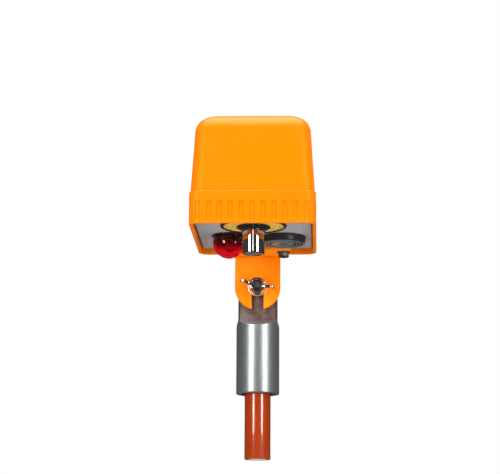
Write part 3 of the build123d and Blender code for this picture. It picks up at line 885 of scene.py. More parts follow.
@dataclass(frozen=True)
class Metal(Finish):
    """Bare or plated metal with tool lines."""

    stretch: Point = (40.0, 40.0, 4000.0)
    depth: float = 0.000004
    # Strength of the painted highlight on outward edges.
    edge_highlight: float = 0.6
    pits: float = 0.0
    pit_scale: float = 900.0
    metallic: float = 1.0
    spots: float = 0.0
    # Warm colour painted over the upper part: a painted reflection of the orange tongue, patchy.
    painted_reflection: Colour | None = None
    painted_reflection_height: Pair = (0.0, 1.0)

    def dress(self, graph: Graph, shader: Node, place: NodeSocket) -> None:
        """Adds tool lines, cloudy tarnish, pits, painted edge highlights and, where asked, a band
        of painted reflection.

        Args:
            graph: Graph of the material.
            shader: Its Principled node.
            place: Socket of the object coordinates.
        """
        shader.inputs["Metallic"].default_value = self.metallic
        along = self.stretched(graph, place, self.stretch)
        lines = graph.group(Effects.lines(), {"Scale": 1.0}, along)
        drift = graph.group(Effects.drift(), {"Scale": 60.0}, place)
        pits = graph.group(Effects.grain(), {"Scale": self.pit_scale}, place)
        # Outward edges are lightened: a painted highlight.
        edge_highlight = graph.group(Effects.edge_highlight(), {"Scale": 700.0, "Reach": 0.1}, place)
        cloudy = graph.math("MULTIPLY", drift.outputs["Mask"], 0.6)
        streaky = graph.math("MULTIPLY", lines.outputs["Mask"], 0.4)
        base = graph.blend(graph.math("ADD", cloudy, streaky), self.colour, self.shade)
        highlit_edges = graph.math("MULTIPLY", edge_highlight.outputs["Mask"], self.edge_highlight)
        base = graph.blend(highlit_edges, base, tuple(min(1.0, c * 1.2 + 0.05) for c in self.colour))
        if self.spots:
            dark = graph.math("MULTIPLY", pits.outputs["Mask"], self.spots)
            base = graph.blend(dark, base, (0.03, 0.028, 0.026))
        # Painted reflection of the orange tongue on the upper part, broken up by the drift.
        if self.painted_reflection:
            low, high = self.painted_reflection_height
            band = graph.group(Effects.band(), {"Low": low, "High": high}, place)
            patchy = self.spread(graph, drift.outputs["Mask"], 1.0, 0.6)
            reflection_mask = graph.math("MULTIPLY", band.outputs["Mask"], patchy)
            base = graph.blend(reflection_mask, base, self.painted_reflection)
        graph.link(base, shader.inputs["Base Color"])
        uneven = graph.math("ADD", cloudy, streaky)
        rough = self.spread(graph, uneven, self.roughness * 0.8, self.roughness * 1.25)
        graph.link(rough, shader.inputs["Roughness"])
        pitted = graph.math("MULTIPLY", pits.outputs["Height"], self.pits)
        height = graph.math("ADD", lines.outputs["Height"], pitted)
        self.bump(graph, shader, height, self.depth)


@dataclass(frozen=True)
class Clear(Finish):
    """Tinted see-through moulding."""

    through: float = 1.0
    bend: float = 1.49
    # Dark colour painted over the upper part, towards the seat: painted shade.
    neck: Colour = (0.2, 0.0, 0.0)
    painted_shade_height: Pair = (0.0, 1.0)

    def dress(self, graph: Graph, shader: Node, place: NodeSocket) -> None:
        """Makes tinted glass with faint flow lines, with painted shade that darkens it towards its
        seat.

        Args:
            graph: Graph of the material.
            shader: Its Principled node.
            place: Socket of the object coordinates.
        """
        shader.inputs["Transmission Weight"].default_value = self.through
        shader.inputs["IOR"].default_value = self.bend
        drift = graph.group(Effects.drift(), {"Scale": 70.0}, place)
        # Painted shade: the lens darkens above the band, towards its seat.
        low, high = self.painted_shade_height
        band = graph.group(Effects.band(), {"Low": low, "High": high}, place)
        base = graph.blend(drift.outputs["Mask"], self.colour, self.shade)
        graph.link(graph.blend(band.outputs["Mask"], base, self.neck), shader.inputs["Base Color"])
        rough = self.spread(graph, drift.outputs["Mask"], self.roughness, self.roughness + 0.02)
        graph.link(rough, shader.inputs["Roughness"])
        self.bump(graph, shader, drift.outputs["Mask"], 0.000001)


@dataclass(frozen=True)
class Wound(Finish):
    """Wound glass fibre in coloured resin."""

    def dress(self, graph: Graph, shader: Node, place: NodeSocket) -> None:
        """Adds crossing fibre bundles under a clear resin skin.

        Args:
            graph: Graph of the material.
            shader: Its Principled node.
            place: Socket of the object coordinates.
        """
        fibres = self.stretched(graph, place, (1500.0, 1500.0, 90.0))
        along = graph.group(Effects.lines(), {"Scale": 1.0}, fibres)
        drift = graph.group(Effects.drift(), {"Scale": 55.0}, place)
        turns = self.stretched(graph, place, (22.0, 22.0, 420.0))
        bands = graph.group(Effects.lines(), {"Scale": 1.0}, turns)
        base = graph.blend(along.outputs["Mask"], self.colour, self.shade)
        faint = graph.math("MULTIPLY", bands.outputs["Mask"], 0.3)
        base = graph.blend(faint, base, tuple(c * 0.6 for c in self.shade))
        graph.link(base, shader.inputs["Base Color"])
        rough = self.spread(graph, drift.outputs["Mask"], self.roughness, self.roughness + 0.1)
        graph.link(rough, shader.inputs["Roughness"])
        shader.inputs["Coat Roughness"].default_value = 0.06
        graph.link(
            self.spread(graph, drift.outputs["Mask"], 1.0, 0.8), shader.inputs["Coat Weight"]
        )
        self.bump(graph, shader, along.outputs["Height"], 0.00003)


ORANGE_HOOD = Moulded(
    "orange_hood", "hood_orange", colour=(0.86, 0.183, 0.0), shade=(0.82, 0.171, 0.0),
    roughness=0.36, grain=1300.0, depth=0.000012, sheen=0.4, edge=(0.95, 0.34, 0.02),
    tint=(1.0, 0.6, 0.12), edge_highlight_amount=0.0,
)
# edge is the colour of the painted highlights on the tongue's outward edges.
ORANGE_TONGUE = Moulded(
    "orange_tongue", "tongue_orange", colour=(0.84, 0.177, 0.0), shade=(0.8, 0.163, 0.0),
    roughness=0.38, grain=1500.0, depth=0.00001, sheen=0.15, edge=(0.95, 0.26, 0.01),
    tint=(1.0, 0.4, 0.03),
)
GREY_PANEL = Moulded(
    "grey_panel", "panel_grey", colour=(0.3, 0.285, 0.29), shade=(0.265, 0.25, 0.255),
    roughness=0.5, grain=1700.0, depth=0.00002,
)
RUBBER = Moulded(
    "black_gasket", "gasket_rubber", colour=(0.02, 0.02, 0.021), shade=(0.03, 0.03, 0.03),
    roughness=0.8, grain=900.0, depth=0.00003,
)
BLACK = Moulded(
    "black_plastic", "black_plastic", colour=(0.022, 0.022, 0.023), shade=(0.03, 0.03, 0.031),
    roughness=0.38, grain=1800.0, depth=0.00001,
)
# Sounder: the lands of its face, lowest of all, get a painted highlight in the crest colour.
SOUNDER_BLACK = Moulded(
    "sounder_plastic", "sounder_black", colour=(0.012, 0.013, 0.012), shade=(0.018, 0.02, 0.019),
    roughness=0.3, grain=2000.0, depth=0.000006, sheen=0.3, crest=(0.13, 0.15, 0.155),
    painted_highlight_height=(0.1956, 0.1958),
)
YELLOW_DIAL = Moulded(
    "yellow_dial", "dial_yellow", colour=(0.62, 0.42, 0.06), shade=(0.55, 0.36, 0.05),
    roughness=0.35, grain=2200.0, depth=0.000006,
)
DIAL_INK = Moulded(
    "dial_ink", "black_plastic", colour=(0.035, 0.03, 0.015), shade=(0.05, 0.042, 0.02),
    roughness=0.5, grain=2400.0, depth=0.000004,
)
WHITE_PAINT = Moulded(
    "white_pointer", "white_plastic", colour=(0.86, 0.86, 0.84), shade=(0.8, 0.8, 0.78),
    roughness=0.35, grain=2400.0, depth=0.000004,
)
WHITE = Moulded(
    "white_plastic", "white_plastic", colour=(0.78, 0.77, 0.74), shade=(0.7, 0.69, 0.66),
    roughness=0.4, grain=1500.0, depth=0.00001,
)
GLOSS_BLACK = Lacquered(
    "gloss_black", "black_gloss", colour=(0.006, 0.006, 0.007), shade=(0.01, 0.01, 0.011),
    roughness=0.1, coat=0.8, specks=0.01,
)
CHROME = Metal(
    "bright_chrome", "knob_chrome", colour=(0.8, 0.8, 0.81), shade=(0.72, 0.72, 0.74),
    roughness=0.05, stretch=(30.0, 30.0, 1200.0), depth=0.0000004, edge_highlight=0.2,
)
# Satin fitting: its flats carry a painted warm reflection of the orange tongue.
SATIN = Metal(
    "satin_fitting", "satin_metal", colour=(0.38, 0.41, 0.405), shade=(0.29, 0.32, 0.32),
    roughness=0.36, stretch=(20.0, 20.0, 2600.0), depth=0.000005, pits=0.6, pit_scale=1500.0,
    metallic=0.8, spots=0.15, painted_reflection=(0.25, 0.14, 0.115), painted_reflection_height=(0.1288, 0.1335),
)
STEEL = Metal(
    "bright_steel", "bright_steel", colour=(0.75, 0.74, 0.72), shade=(0.6, 0.59, 0.57),
    roughness=0.22, stretch=(600.0, 30.0, 600.0), depth=0.000004, metallic=0.8,
)
ZINC = Metal(
    "dull_zinc", "bright_steel", colour=(0.3, 0.285, 0.265), shade=(0.18, 0.17, 0.16),
    roughness=0.32, stretch=(600.0, 600.0, 600.0), depth=0.00001, edge_highlight=0.8, pits=1.2,
    pit_scale=1000.0, spots=0.7,
)
CASTING = Metal(
    "nickel_casting", "nickel_casting", colour=(0.93, 0.9, 0.84), shade=(0.8, 0.77, 0.71),
    roughness=0.2, stretch=(300.0, 300.0, 300.0), depth=0.00004, edge_highlight=0.5, pits=1.5,
    pit_scale=1100.0, metallic=0.4, spots=0.4,
)
# Red lens: its upper part is darkened by painted shade.
RED_LENS = Clear(
    "red_lens", "lens_red", colour=(0.94, 0.012, 0.04), shade=(0.9, 0.01, 0.035),
    roughness=0.05, through=0.95, neck=(0.2, 0.0, 0.004), painted_shade_height=(0.187, 0.1965),
)
# Near-black LED cap: a real part whose darkness is painted shade seen through the lens.
PAINTED_SHADE_CORE = Lacquered(
    "painted_shade_core", "led_red", colour=(0.03, 0.002, 0.003), shade=(0.04, 0.002, 0.004),
    roughness=0.15,
)
FIBREGLASS = Wound(
    "orange_fibreglass", "fibreglass_orange", colour=(0.38, 0.038, 0.0), shade=(0.32, 0.028, 0.0),
    roughness=0.18,
)


# ---------------------------------------------------------------- studio


@dataclass
class Softbox:
    """One soft studio light, aimed at the object."""

    name: str
    place: Point
    size: Pair
    watts: float
    aim: Point = (0.0, -0.06, 0.2)
    tint: Colour = (1.0, 1.0, 1.0)

    def build(self) -> None:
        """Adds the light."""
        Bench.deselect()
        bpy.ops.object.light_add(type="AREA", location=self.place)
        lamp = bpy.context.object
        lamp.name = self.name
        lamp.data.shape = "RECTANGLE"
        lamp.data.size, lamp.data.size_y = self.size
        lamp.data.energy = self.watts
        lamp.data.color = self.tint
        way = Vector(self.aim) - Vector(self.place)
        lamp.rotation_euler = way.to_track_quat("-Z", "Y").to_euler()
        lamp.visible_camera = False


@dataclass
class Studio:
    """Camera, lights, white surround and a plain pale floor."""

    eye: Point = (0.05815, -1.63525, -0.1185)
    pitch: float = 11.6
    yaw: float = 2.323
    roll: float = 0.3
    lens: float = 122.4
    floor_z: float = -0.3
    ambient: float = 0.22
    mirrored: float = 0.045
    lights: tuple[Softbox, ...] = (
        Softbox("left_softbox", (-0.88, -1.31, 0.3), (0.36, 1.0), 16.0),
        Softbox("right_softbox", (1.03, -1.19, 0.3), (0.36, 1.0), 16.0),
        Softbox("top_softbox", (0.0, -0.25, 1.5), (1.3, 1.4), 34.0),
        Softbox("back_softbox", (0.2, 1.5, 0.9), (1.4, 0.8), 8.0),
    )

    def build(self) -> None:
        """Sets up the whole studio."""
        self.place_camera()
        for light in self.lights:
            light.build()
        self.surround()
        self.floor()

    def place_camera(self) -> None:
        """Adds the camera below the object, looking up at it."""
        Bench.deselect()
        turn = Euler((math.radians(90 + self.pitch), 0.0, math.radians(self.yaw))).to_quaternion()
        turn = turn @ Quaternion((0.0, 0.0, 1.0), math.radians(self.roll))
        bpy.ops.object.camera_add(location=self.eye, rotation=turn.to_euler())
        camera = bpy.context.object
        camera.name = "studio_camera"
        camera.data.sensor_width = 36.0
        camera.data.sensor_fit = "HORIZONTAL"
        camera.data.lens = self.lens
        camera.data.clip_start = 0.05
        camera.data.dof.use_dof = False
        bpy.context.scene.camera = camera
        bpy.context.scene.view_settings.view_transform = "Standard"

    def surround(self) -> None:
        """Makes the surround white to the eye, dimmer as a light and dark in mirrors."""
        world = bpy.data.worlds.new("white_surround")
        world.use_nodes = True
        bpy.context.scene.world = world
        graph = Graph(world.node_tree)
        back = world.node_tree.nodes["Background"]
        path = graph.add("LightPath")
        dim = (self.ambient, self.ambient, self.ambient)
        dark = (self.mirrored, self.mirrored, self.mirrored)
        glow = graph.blend(path.outputs["Is Glossy Ray"], dim, dark)
        glow = graph.blend(path.outputs["Is Transmission Ray"], glow, (1.0, 1.0, 1.0))
        graph.link(
            graph.blend(path.outputs["Is Camera Ray"], glow, (1.0, 1.0, 1.0)), back.inputs["Color"]
        )

    def floor(self) -> None:
        """Adds the pale floor far below."""
        Bench.deselect()
        bpy.ops.mesh.primitive_plane_add(size=8.0, location=(0.0, 0.0, self.floor_z))
        ground = Bench.settle(bpy.context.object)
        ground.name = "pale_floor"
        paint = bpy.data.materials.new("pale_floor")
        paint.use_nodes = True
        shader = paint.node_tree.nodes["Principled BSDF"]
        shader.inputs["Base Color"].default_value = (0.8, 0.8, 0.8, 1.0)
        shader.inputs["Roughness"].default_value = 0.9
        ground.data.materials.append(paint)
        ground.visible_glossy = False


# ---------------------------------------------------------------- hood and panel


@dataclass
class Hood:
    """Orange moulded hood: fluted skirt and drafted, round-topped upper half."""

    width: float = 0.114
    depth: float = 0.150
    back: float = -0.011
    low: float = 0.1975
    step: float = 0.2274
    top: float = 0.3009
    shelf: float = 0.2065
    shelf_height: float = 0.0025
    corner: float = 0.010
    step_in: float = 0.001
    slope: float = math.tan(math.radians(3.45))
    top_round: float = 0.016
    wall: float = 0.0032
    flute_width: float = 0.004
    flute_depth: float = 0.0008
    flute_pitch: float = 0.00974
    flute_low: float = 0.199
    flute_high: float = 0.218
    front_flutes: int = 11
    side_flutes: int = 15
    notch: float = 0.046
    notch_top: float = 0.2001
    pillar_radius: float = 0.0045
    pillar_hole: float = 0.00155
    pillar_height: float = 0.0172
    pillar_x: float = 0.0435
    pillar_inset: float = 0.008

    @property
    def middle(self) -> float:
        """Middle of the hood from front to back."""
        return self.back - self.depth / 2

    def outline(self, name: str, inset: float, low: float, high: float, corner: float) -> Piece:
        """Adds a rounded block that keeps a distance inside the skirt's outline.

        Args:
            name: Name of the piece.
            inset: Distance inside the outline.
            low: Lower height.
            high: Upper height.
            corner: Radius of its upright edges.

        Returns:
            The block.
        """
        wide = self.width / 2 - inset
        deep = self.depth / 2 - inset
        near, far = self.middle - deep, self.middle + deep
        return Bench.rounded_slab(name, (-wide, near, low), (wide, far, high), corner)

    def flute_cutters(self) -> Piece:
        """Makes one mesh of all the blocks that open the flutes.

        Returns:
            The cutters.
        """
        reach = 0.0034
        half = self.flute_width / 2
        front = Bench.slab(
            "front_cutter", (-half, -reach, self.flute_low), (half, 0.003, self.flute_high)
        )
        side = Bench.slab(
            "side_cutter", (-0.003, -half, self.flute_low), (reach, half, self.flute_high)
        )
        cutters = []
        for k in range(self.front_flutes):
            x = (k - (self.front_flutes - 1) / 2) * self.flute_pitch
            cutters.append(Bench.copy(front, (x, self.back, 0.0)))
            cutters.append(Bench.copy(front, (x, self.back - self.depth + reach - 0.003, 0.0)))
        for k in range(self.side_flutes):
            y = self.middle + (k - (self.side_flutes - 1) / 2) * self.flute_pitch
            cutters.append(Bench.copy(side, (-self.width / 2, y, 0.0)))
            cutters.append(Bench.copy(side, (self.width / 2 + 0.003 - reach, y, 0.0)))
        for used in (front, side):
            bpy.data.objects.remove(used)
        return Bench.merged(cutters, "flute_cutters")

    def fluted_skirt(self) -> Piece:
        """Builds the skirt and its flutes, which fade out towards the lip.

        Returns:
            The skirt as a solid.
        """
        skirt = self.outline("hood", 0.0, self.low, self.step, self.corner)
        Bench.round_edges(
            skirt, 0.0012, 4, lambda at, way: at.z > self.step - 1e-5 and abs(way.z) < 0.1
        )
        Bench.round_edges(
            skirt, 0.0006, 3, lambda at, way: at.z < self.low + 1e-5 and abs(way.z) < 0.1
        )
        Bench.combine(skirt, self.flute_cutters(), "DIFFERENCE")
        ramp = 0.0016
        cut = self.flute_depth
        low, high = self.flute_low + ramp, self.flute_high + 0.001
        core = self.outline("core", cut, low, high, self.corner - cut)
        Bench.pick(core, Pick.FACES, lambda at, normal: normal.z < -0.9)
        full = (self.width, self.depth)
        grow = (*((size - 0.0002) / (size - 2 * cut) for size in full), 1.0)
        bpy.ops.mesh.extrude_region_move(TRANSFORM_OT_translate={"value": (0.0, 0.0, -ramp)})
        bpy.ops.transform.resize(value=grow, center_override=(0.0, self.middle, self.flute_low))
        bpy.ops.object.mode_set(mode="OBJECT")
        Bench.combine(skirt, core, "UNION")
        return skirt

    def drafted(
        self, name: str, inset: float, low: float, high: float, corner: float, top_round: float
    ) -> Piece:
        """Builds the block of the upper half, or of the space inside it.

        Args:
            name: Name of the piece.
            inset: Distance inside the outline at the step.
            low: Lower height.
            high: Upper height.
            corner: Radius of its upright edges.
            top_round: Radius round its top.

        Returns:
            The block.
        """
        wide = self.width / 2 - inset + (self.step - low) * self.slope
        deep = self.depth / 2 - inset + (self.step - low) * self.slope
        eaves = high - top_round
        piece = Bench.slab(
            name, (-wide, self.middle - deep, low), (wide, self.middle + deep, eaves)
        )
        Bench.pick(piece, Pick.FACES, lambda at, normal: normal.z > 0.9)
        draft = (eaves - low) * self.slope
        taper = ((wide - draft) / wide, (deep - draft) / deep, 1.0)
        bpy.ops.transform.resize(value=taper, center_override=(0.0, self.middle, eaves))
        bpy.ops.object.mode_set(mode="OBJECT")
        Bench.round_edges(piece, corner, 10, lambda at, way: abs(way.z) > 0.9)
        Bench.pick(piece, Pick.FACES, lambda at, normal: normal.z > 0.9)
        wide, deep, gone, risen = wide - draft, deep - draft, 0.0, 0.0
        for k in range(1, 15):
            turn = math.pi / 2 * k / 14
            inset = top_round * (1.0 - math.cos(turn) + self.slope * math.sin(turn))
            rise = top_round * math.sin(turn)
            bpy.ops.mesh.extrude_region_move(
                TRANSFORM_OT_translate={"value": (0.0, 0.0, rise - risen)}
            )
            shrink = ((wide - inset) / (wide - gone), (deep - inset) / (deep - gone), 1.0)
            bpy.ops.transform.resize(value=shrink, center_override=(0.0, self.middle, eaves + rise))
            gone, risen = inset, rise
        bpy.ops.object.mode_set(mode="OBJECT")
        return piece

    def hollow(self, hood: Piece) -> None:
        """Opens the space for the panel, the shelf's throat and the space above it.

        Args:
            hood: Solid hood.
        """
        lower = self.outline(
            "lower_space", self.wall, self.low - 0.004, self.shelf, self.corner - self.wall
        )
        Bench.combine(hood, lower, "DIFFERENCE")
        ceiling = self.shelf + self.shelf_height
        throat = self.outline(
            "throat", self.wall + 0.0034, self.shelf - 0.001, ceiling + 0.001, 0.005
        )
        Bench.combine(hood, throat, "DIFFERENCE")
        inset, roof = self.step_in + self.wall + 0.001, self.top - self.wall
        upper = self.drafted("upper_space", inset, ceiling, roof, 0.008, 0.0125)
        Bench.combine(hood, upper, "DIFFERENCE")
        half = self.notch / 2
        inner, outer = self.back - self.wall - 0.002, self.back + 0.004
        notch = Bench.slab("notch", (-half, inner, self.low - 0.004), (half, outer, self.notch_top))
        Bench.combine(hood, notch, "DIFFERENCE")

    def pillars(self) -> list[Piece]:
        """Builds the four screw pillars that stand on the shelf.

        Returns:
            The pillars.
        """
        hole, foot, tall, deep = self.pillar_hole, self.pillar_radius, self.pillar_height, 0.013
        end = [(foot - 0.0005, tall - 0.0007), (foot - 0.0007, tall), (0.0, tall)]
        profile = [(hole, 0.0), (foot, 0.0), *end, (0.0, deep), (hole, deep), (hole, 0.0)]
        first = Bench.lathe("pillar", profile, (0.0, 0.0, self.shelf + 0.0002), Axis.UP, 32)
        rows = (self.back - self.pillar_inset, self.back - self.depth + self.pillar_inset)
        spots = [(x, y) for x in (-self.pillar_x, self.pillar_x) for y in rows]
        built = [Bench.copy(first, (x, y, 0.0)) for x, y in spots]
        bpy.data.objects.remove(first)
        return built

    def build(self) -> None:
        """Builds, dresses and hands over the hood."""
        hood = self.fluted_skirt()
        upper = self.drafted(
            "upper", self.step_in, self.step - 0.002, self.top, 0.012, self.top_round
        )
        Bench.combine(hood, upper, "UNION")
        self.hollow(hood)
        hood = Bench.merged([*self.pillars(), hood], "orange_hood")
        Bench.hand_over(hood, "detector", ORANGE_HOOD, "hood_shell", angle=30.0)


@dataclass
class BasePanel:
    """Grey panel set up inside the skirt, with its bracket pad and openings."""

    width: float = 0.1052
    depth: float = 0.1412
    middle: float = -0.086
    low: float = 0.2025
    high: float = 0.2055
    corner: float = 0.0056
    lamp: Point = (-0.0243, -0.080, 0.0102)
    sounder: Point = (0.0255, -0.072, 0.0176)
    shaft: Point = (0.0, -0.125, 0.0049)
    screw_x: float = 0.0435
    screw_y: Pair = (-0.019, -0.153)
    sink_radius: float = 0.0031

    def hole(self, spot: Point, low: float, high: float) -> Piece:
        """Makes a cutter for a round hole."""
        x, y, radius = spot
        return Bench.rod("hole", radius, (0.0, high - low), (x, y, low), Axis.UP, 64)

    def build(self) -> None:
        """Builds, dresses and hands over the panel."""
        wide, deep = self.width / 2, self.depth / 2
        low, high = (-wide, self.middle - deep, self.low), (wide, self.middle + deep, self.high)
        panel = Bench.rounded_slab("grey_panel", low, high, self.corner)
        Bench.round_edges(
            panel, 0.0005, 3, lambda at, way: at.z < self.low + 1e-5 and abs(way.z) < 0.1
        )
        pad = Bench.prism(
            "pad", foot_outline(0.0006, 0.1995), (0.0, 0.0, self.low - 0.1995 + 0.0005)
        )
        Bench.combine(panel, pad, "UNION")
        for spot in (self.lamp, self.sounder, self.shaft):
            Bench.combine(panel, self.hole(spot, self.low - 0.001, self.high + 0.001), "DIFFERENCE")
        for x in (-self.screw_x, self.screw_x):
            for y in self.screw_y:
                sink = self.hole((x, y, self.sink_radius), self.low - 0.001, self.low + 0.0018)
                Bench.combine(panel, sink, "DIFFERENCE")
        Bench.hand_over(panel, "detector", GREY_PANEL, "base_panel", angle=30.0)


# ---------------------------------------------------------------- selector and dial


@dataclass
class Dial:
    """Yellow dial plate with printed marks, set in a thick black rim."""

    centre: Point = (0.0, -0.125, 0.2025)
    plate_radius: float = 0.0273
    rim_radius: float = 0.0303
    plate_height: float = 0.001
    stations: int = 9
    first_angle: float = -120.0
    number_size: float = 0.0042
    number_radius: float = 0.0192
    plate_bore: float = 0.0055
    mark_sizes: tuple[tuple[str, float, float, float], ...] = (
        ("long_mark", 0.00045, 0.0262, 0.0228),
        ("short_mark", 0.0002, 0.0258, 0.0240),
    )

    def plate(self) -> None:
        """Builds the plate, with a fine turned step at its edge."""
        r = self.plate_radius
        bore, face = self.plate_bore, -self.plate_height
        step = face + 0.0002
        profile = (
            (bore, 0.0), (bore, face), (r - 0.0008, face), (r - 0.0006, step), (r, step), (r, 0.0),
            (bore, 0.0),
        )
        plate = Bench.lathe("dial_plate_face", profile, self.centre, Axis.UP, 128)
        Bench.hand_over(plate, "detector", YELLOW_DIAL, "dial_plate", angle=32.0)

    def rim(self) -> None:
        """Builds the black rim with its rounded face."""
        crown = Bench.arc((self.rim_radius - 0.0014, -0.0004), 0.0014, 0.0, -90.0, 6)
        inner = Bench.arc((self.plate_radius + 0.0009, -0.0009), 0.0009, -90.0, -180.0, 5)
        profile = [
            (self.rim_radius, 0.0), *crown, *inner, (self.plate_radius, 0.0), (self.rim_radius, 0.0)
        ]
        rim = Bench.lathe("dial_rim_ring", profile, self.centre, Axis.UP, 128)
        Bench.hand_over(rim, "detector", GLOSS_BLACK, "dial_rim", angle=32.0)

    def marks(self) -> None:
        """Prints a long mark and a number at each station, and short marks between."""
        x, y, z = self.centre
        face = z - self.plate_height
        built = []
        for name, half, outer, inner in self.mark_sizes:
            low = (x - half, y - outer, face - 0.00006)
            built.append(Bench.slab(name, low, (x + half, y - inner, face + 0.0001)))
        long_mark, short_mark = built
        for mark in (long_mark, short_mark):
            Bench.round_edges(mark, 0.00015, 2, lambda at, way: abs(way.z) > 0.9)
        printed = []
        for k in range((self.stations - 1) * 3 + 1):
            angle = math.radians(self.first_angle + 10.0 * k)
            printed.append(
                Bench.turned_copy(
                    long_mark if k % 3 == 0 else short_mark, angle, Axis.UP, self.centre
                ),
            )
        for mark in (long_mark, short_mark):
            bpy.data.objects.remove(mark)
        for k in range(self.stations):
            printed.append(self.number(str(k + 1), math.radians(self.first_angle + 30.0 * k)))
        ink = Bench.merged(printed, "dial_marks")
        Bench.hand_over(ink, "detector", DIAL_INK)

    def number(self, text: str, angle: float) -> Piece:
        """Prints one number, read from below with its foot towards the middle.

        Args:
            text: The number.
            angle: Its turn round the dial from the front, in radians.

        Returns:
            The number as a mesh.
        """
        x, y, z = self.centre
        radius, low = self.number_radius, z - self.plate_height - 0.00003
        place = (x + radius * math.sin(angle), y - radius * math.cos(angle), low)
        Bench.deselect()
        bpy.ops.object.text_add(location=place, rotation=(math.pi, 0.0, angle))
        letters = bpy.context.object
        letters.data.body = text
        letters.data.size = self.number_size
        letters.data.align_x = "CENTER"
        letters.data.align_y = "CENTER"
        letters.data.extrude = 0.00003
        bpy.ops.object.convert(target="MESH")
        return Bench.settle(bpy.context.object)

    def build(self) -> None:
        """Builds, dresses and hands over the dial."""
        self.plate()
        self.rim()
        self.marks()


@dataclass
class Selector:
    """Turning selector: gloss black flare, chrome grip and white pointer line."""

    centre: Point = (0.0, -0.125, 0.0)
    grip_radius: float = 0.0102
    neck_radius: float = 0.0115
    flare_radius: float = 0.0156
    end: float = 0.1758
    neck: float = 0.1977
    brim_low: float = 0.20025
    top: float = 0.20115
    flare_bore: float = 0.0034
    grip_bore: float = 0.0031
    grub_radius: float = 0.00152
    grub_start: float = 0.0025
    grub_height: float = 0.1868
    pointer_width: float = 0.00076

    def flare(self) -> None:
        """Builds the flared skirt with its brim."""
        sweep = [(self.neck_radius, self.neck)]
        for k in range(1, 9):
            share = k / 8
            radius = self.neck_radius + (self.flare_radius - self.neck_radius) * share**1.25
            sweep.append((radius, self.neck + (self.brim_low - self.neck) * share))
        face, floor = self.neck + 0.0001, self.neck + 0.002
        foot = [(0.0, face), (self.neck_radius - 0.0004, face)]
        hole = [(self.flare_bore, self.top), (self.flare_bore, floor), (0.0, floor)]
        profile = [*foot, *sweep, (self.flare_radius, self.top), *hole]
        flare = Bench.lathe("selector_flare", profile, self.centre, Axis.UP, 128)
        Bench.soften(flare, 0.00018, 3)
        Bench.hand_over(flare, "selector", GLOSS_BLACK, "knob_skirt", angle=40.0)

    def grip(self) -> None:
        """Builds the chrome grip: collar, straight wall, rounded end and dished face."""
        r, low, high = self.grip_radius, self.end, self.neck
        crown = Bench.arc((r - 0.0012, low + 0.0012), 0.0012, 0.0, -90.0, 8)
        bore, roof, collar, dish = self.grip_bore, high - 0.008, r + 0.0007, low + 0.0004
        collar_line = [(bore, high), (collar, high), (collar, high - 0.0008), (r, high - 0.0013)]
        end_line = [*crown, (r - 0.0019, low), (r - 0.0024, dish), (0.0, dish)]
        profile = [*collar_line, *end_line, (0.0, roof), (bore, roof), (bore, high)]
        grip = Bench.lathe("selector_grip", profile, self.centre, Axis.UP, 128)
        x, y, _ = self.centre
        start = (x, y - self.grub_start, self.grub_height)
        bore = Bench.rod("bore", self.grub_radius, (0.0, 0.012), start, Axis.FRONT, 32)
        Bench.turn(bore, math.pi, Axis.UP, (x, y, self.grub_height))
        Bench.combine(grip, bore, "DIFFERENCE")
        Bench.hand_over(grip, "selector", CHROME, "knob_cap", angle=40.0)

    def pointer(self) -> None:
        """Builds the white line down the front of the grip and over the flare."""
        x, y, _ = self.centre
        front = y - self.grip_radius
        half = self.pointer_width / 2
        low = (x - half, front - 0.00012, self.end + 0.0012)
        high = (x + half, front + 0.0006, self.neck - 0.0012)
        line = Bench.slab("pointer_line", low, high)
        Bench.round_edges(line, 0.0001, 2, lambda at, way: abs(way.z) > 0.9 and at.y < front)
        Bench.hand_over(line, "selector", WHITE_PAINT, angle=32.0)

    def build(self) -> None:
        """Builds, dresses and hands over the selector."""
        self.flare()
        self.grip()
        self.pointer()


# ---------------------------------------------------------------- lamp and sounder


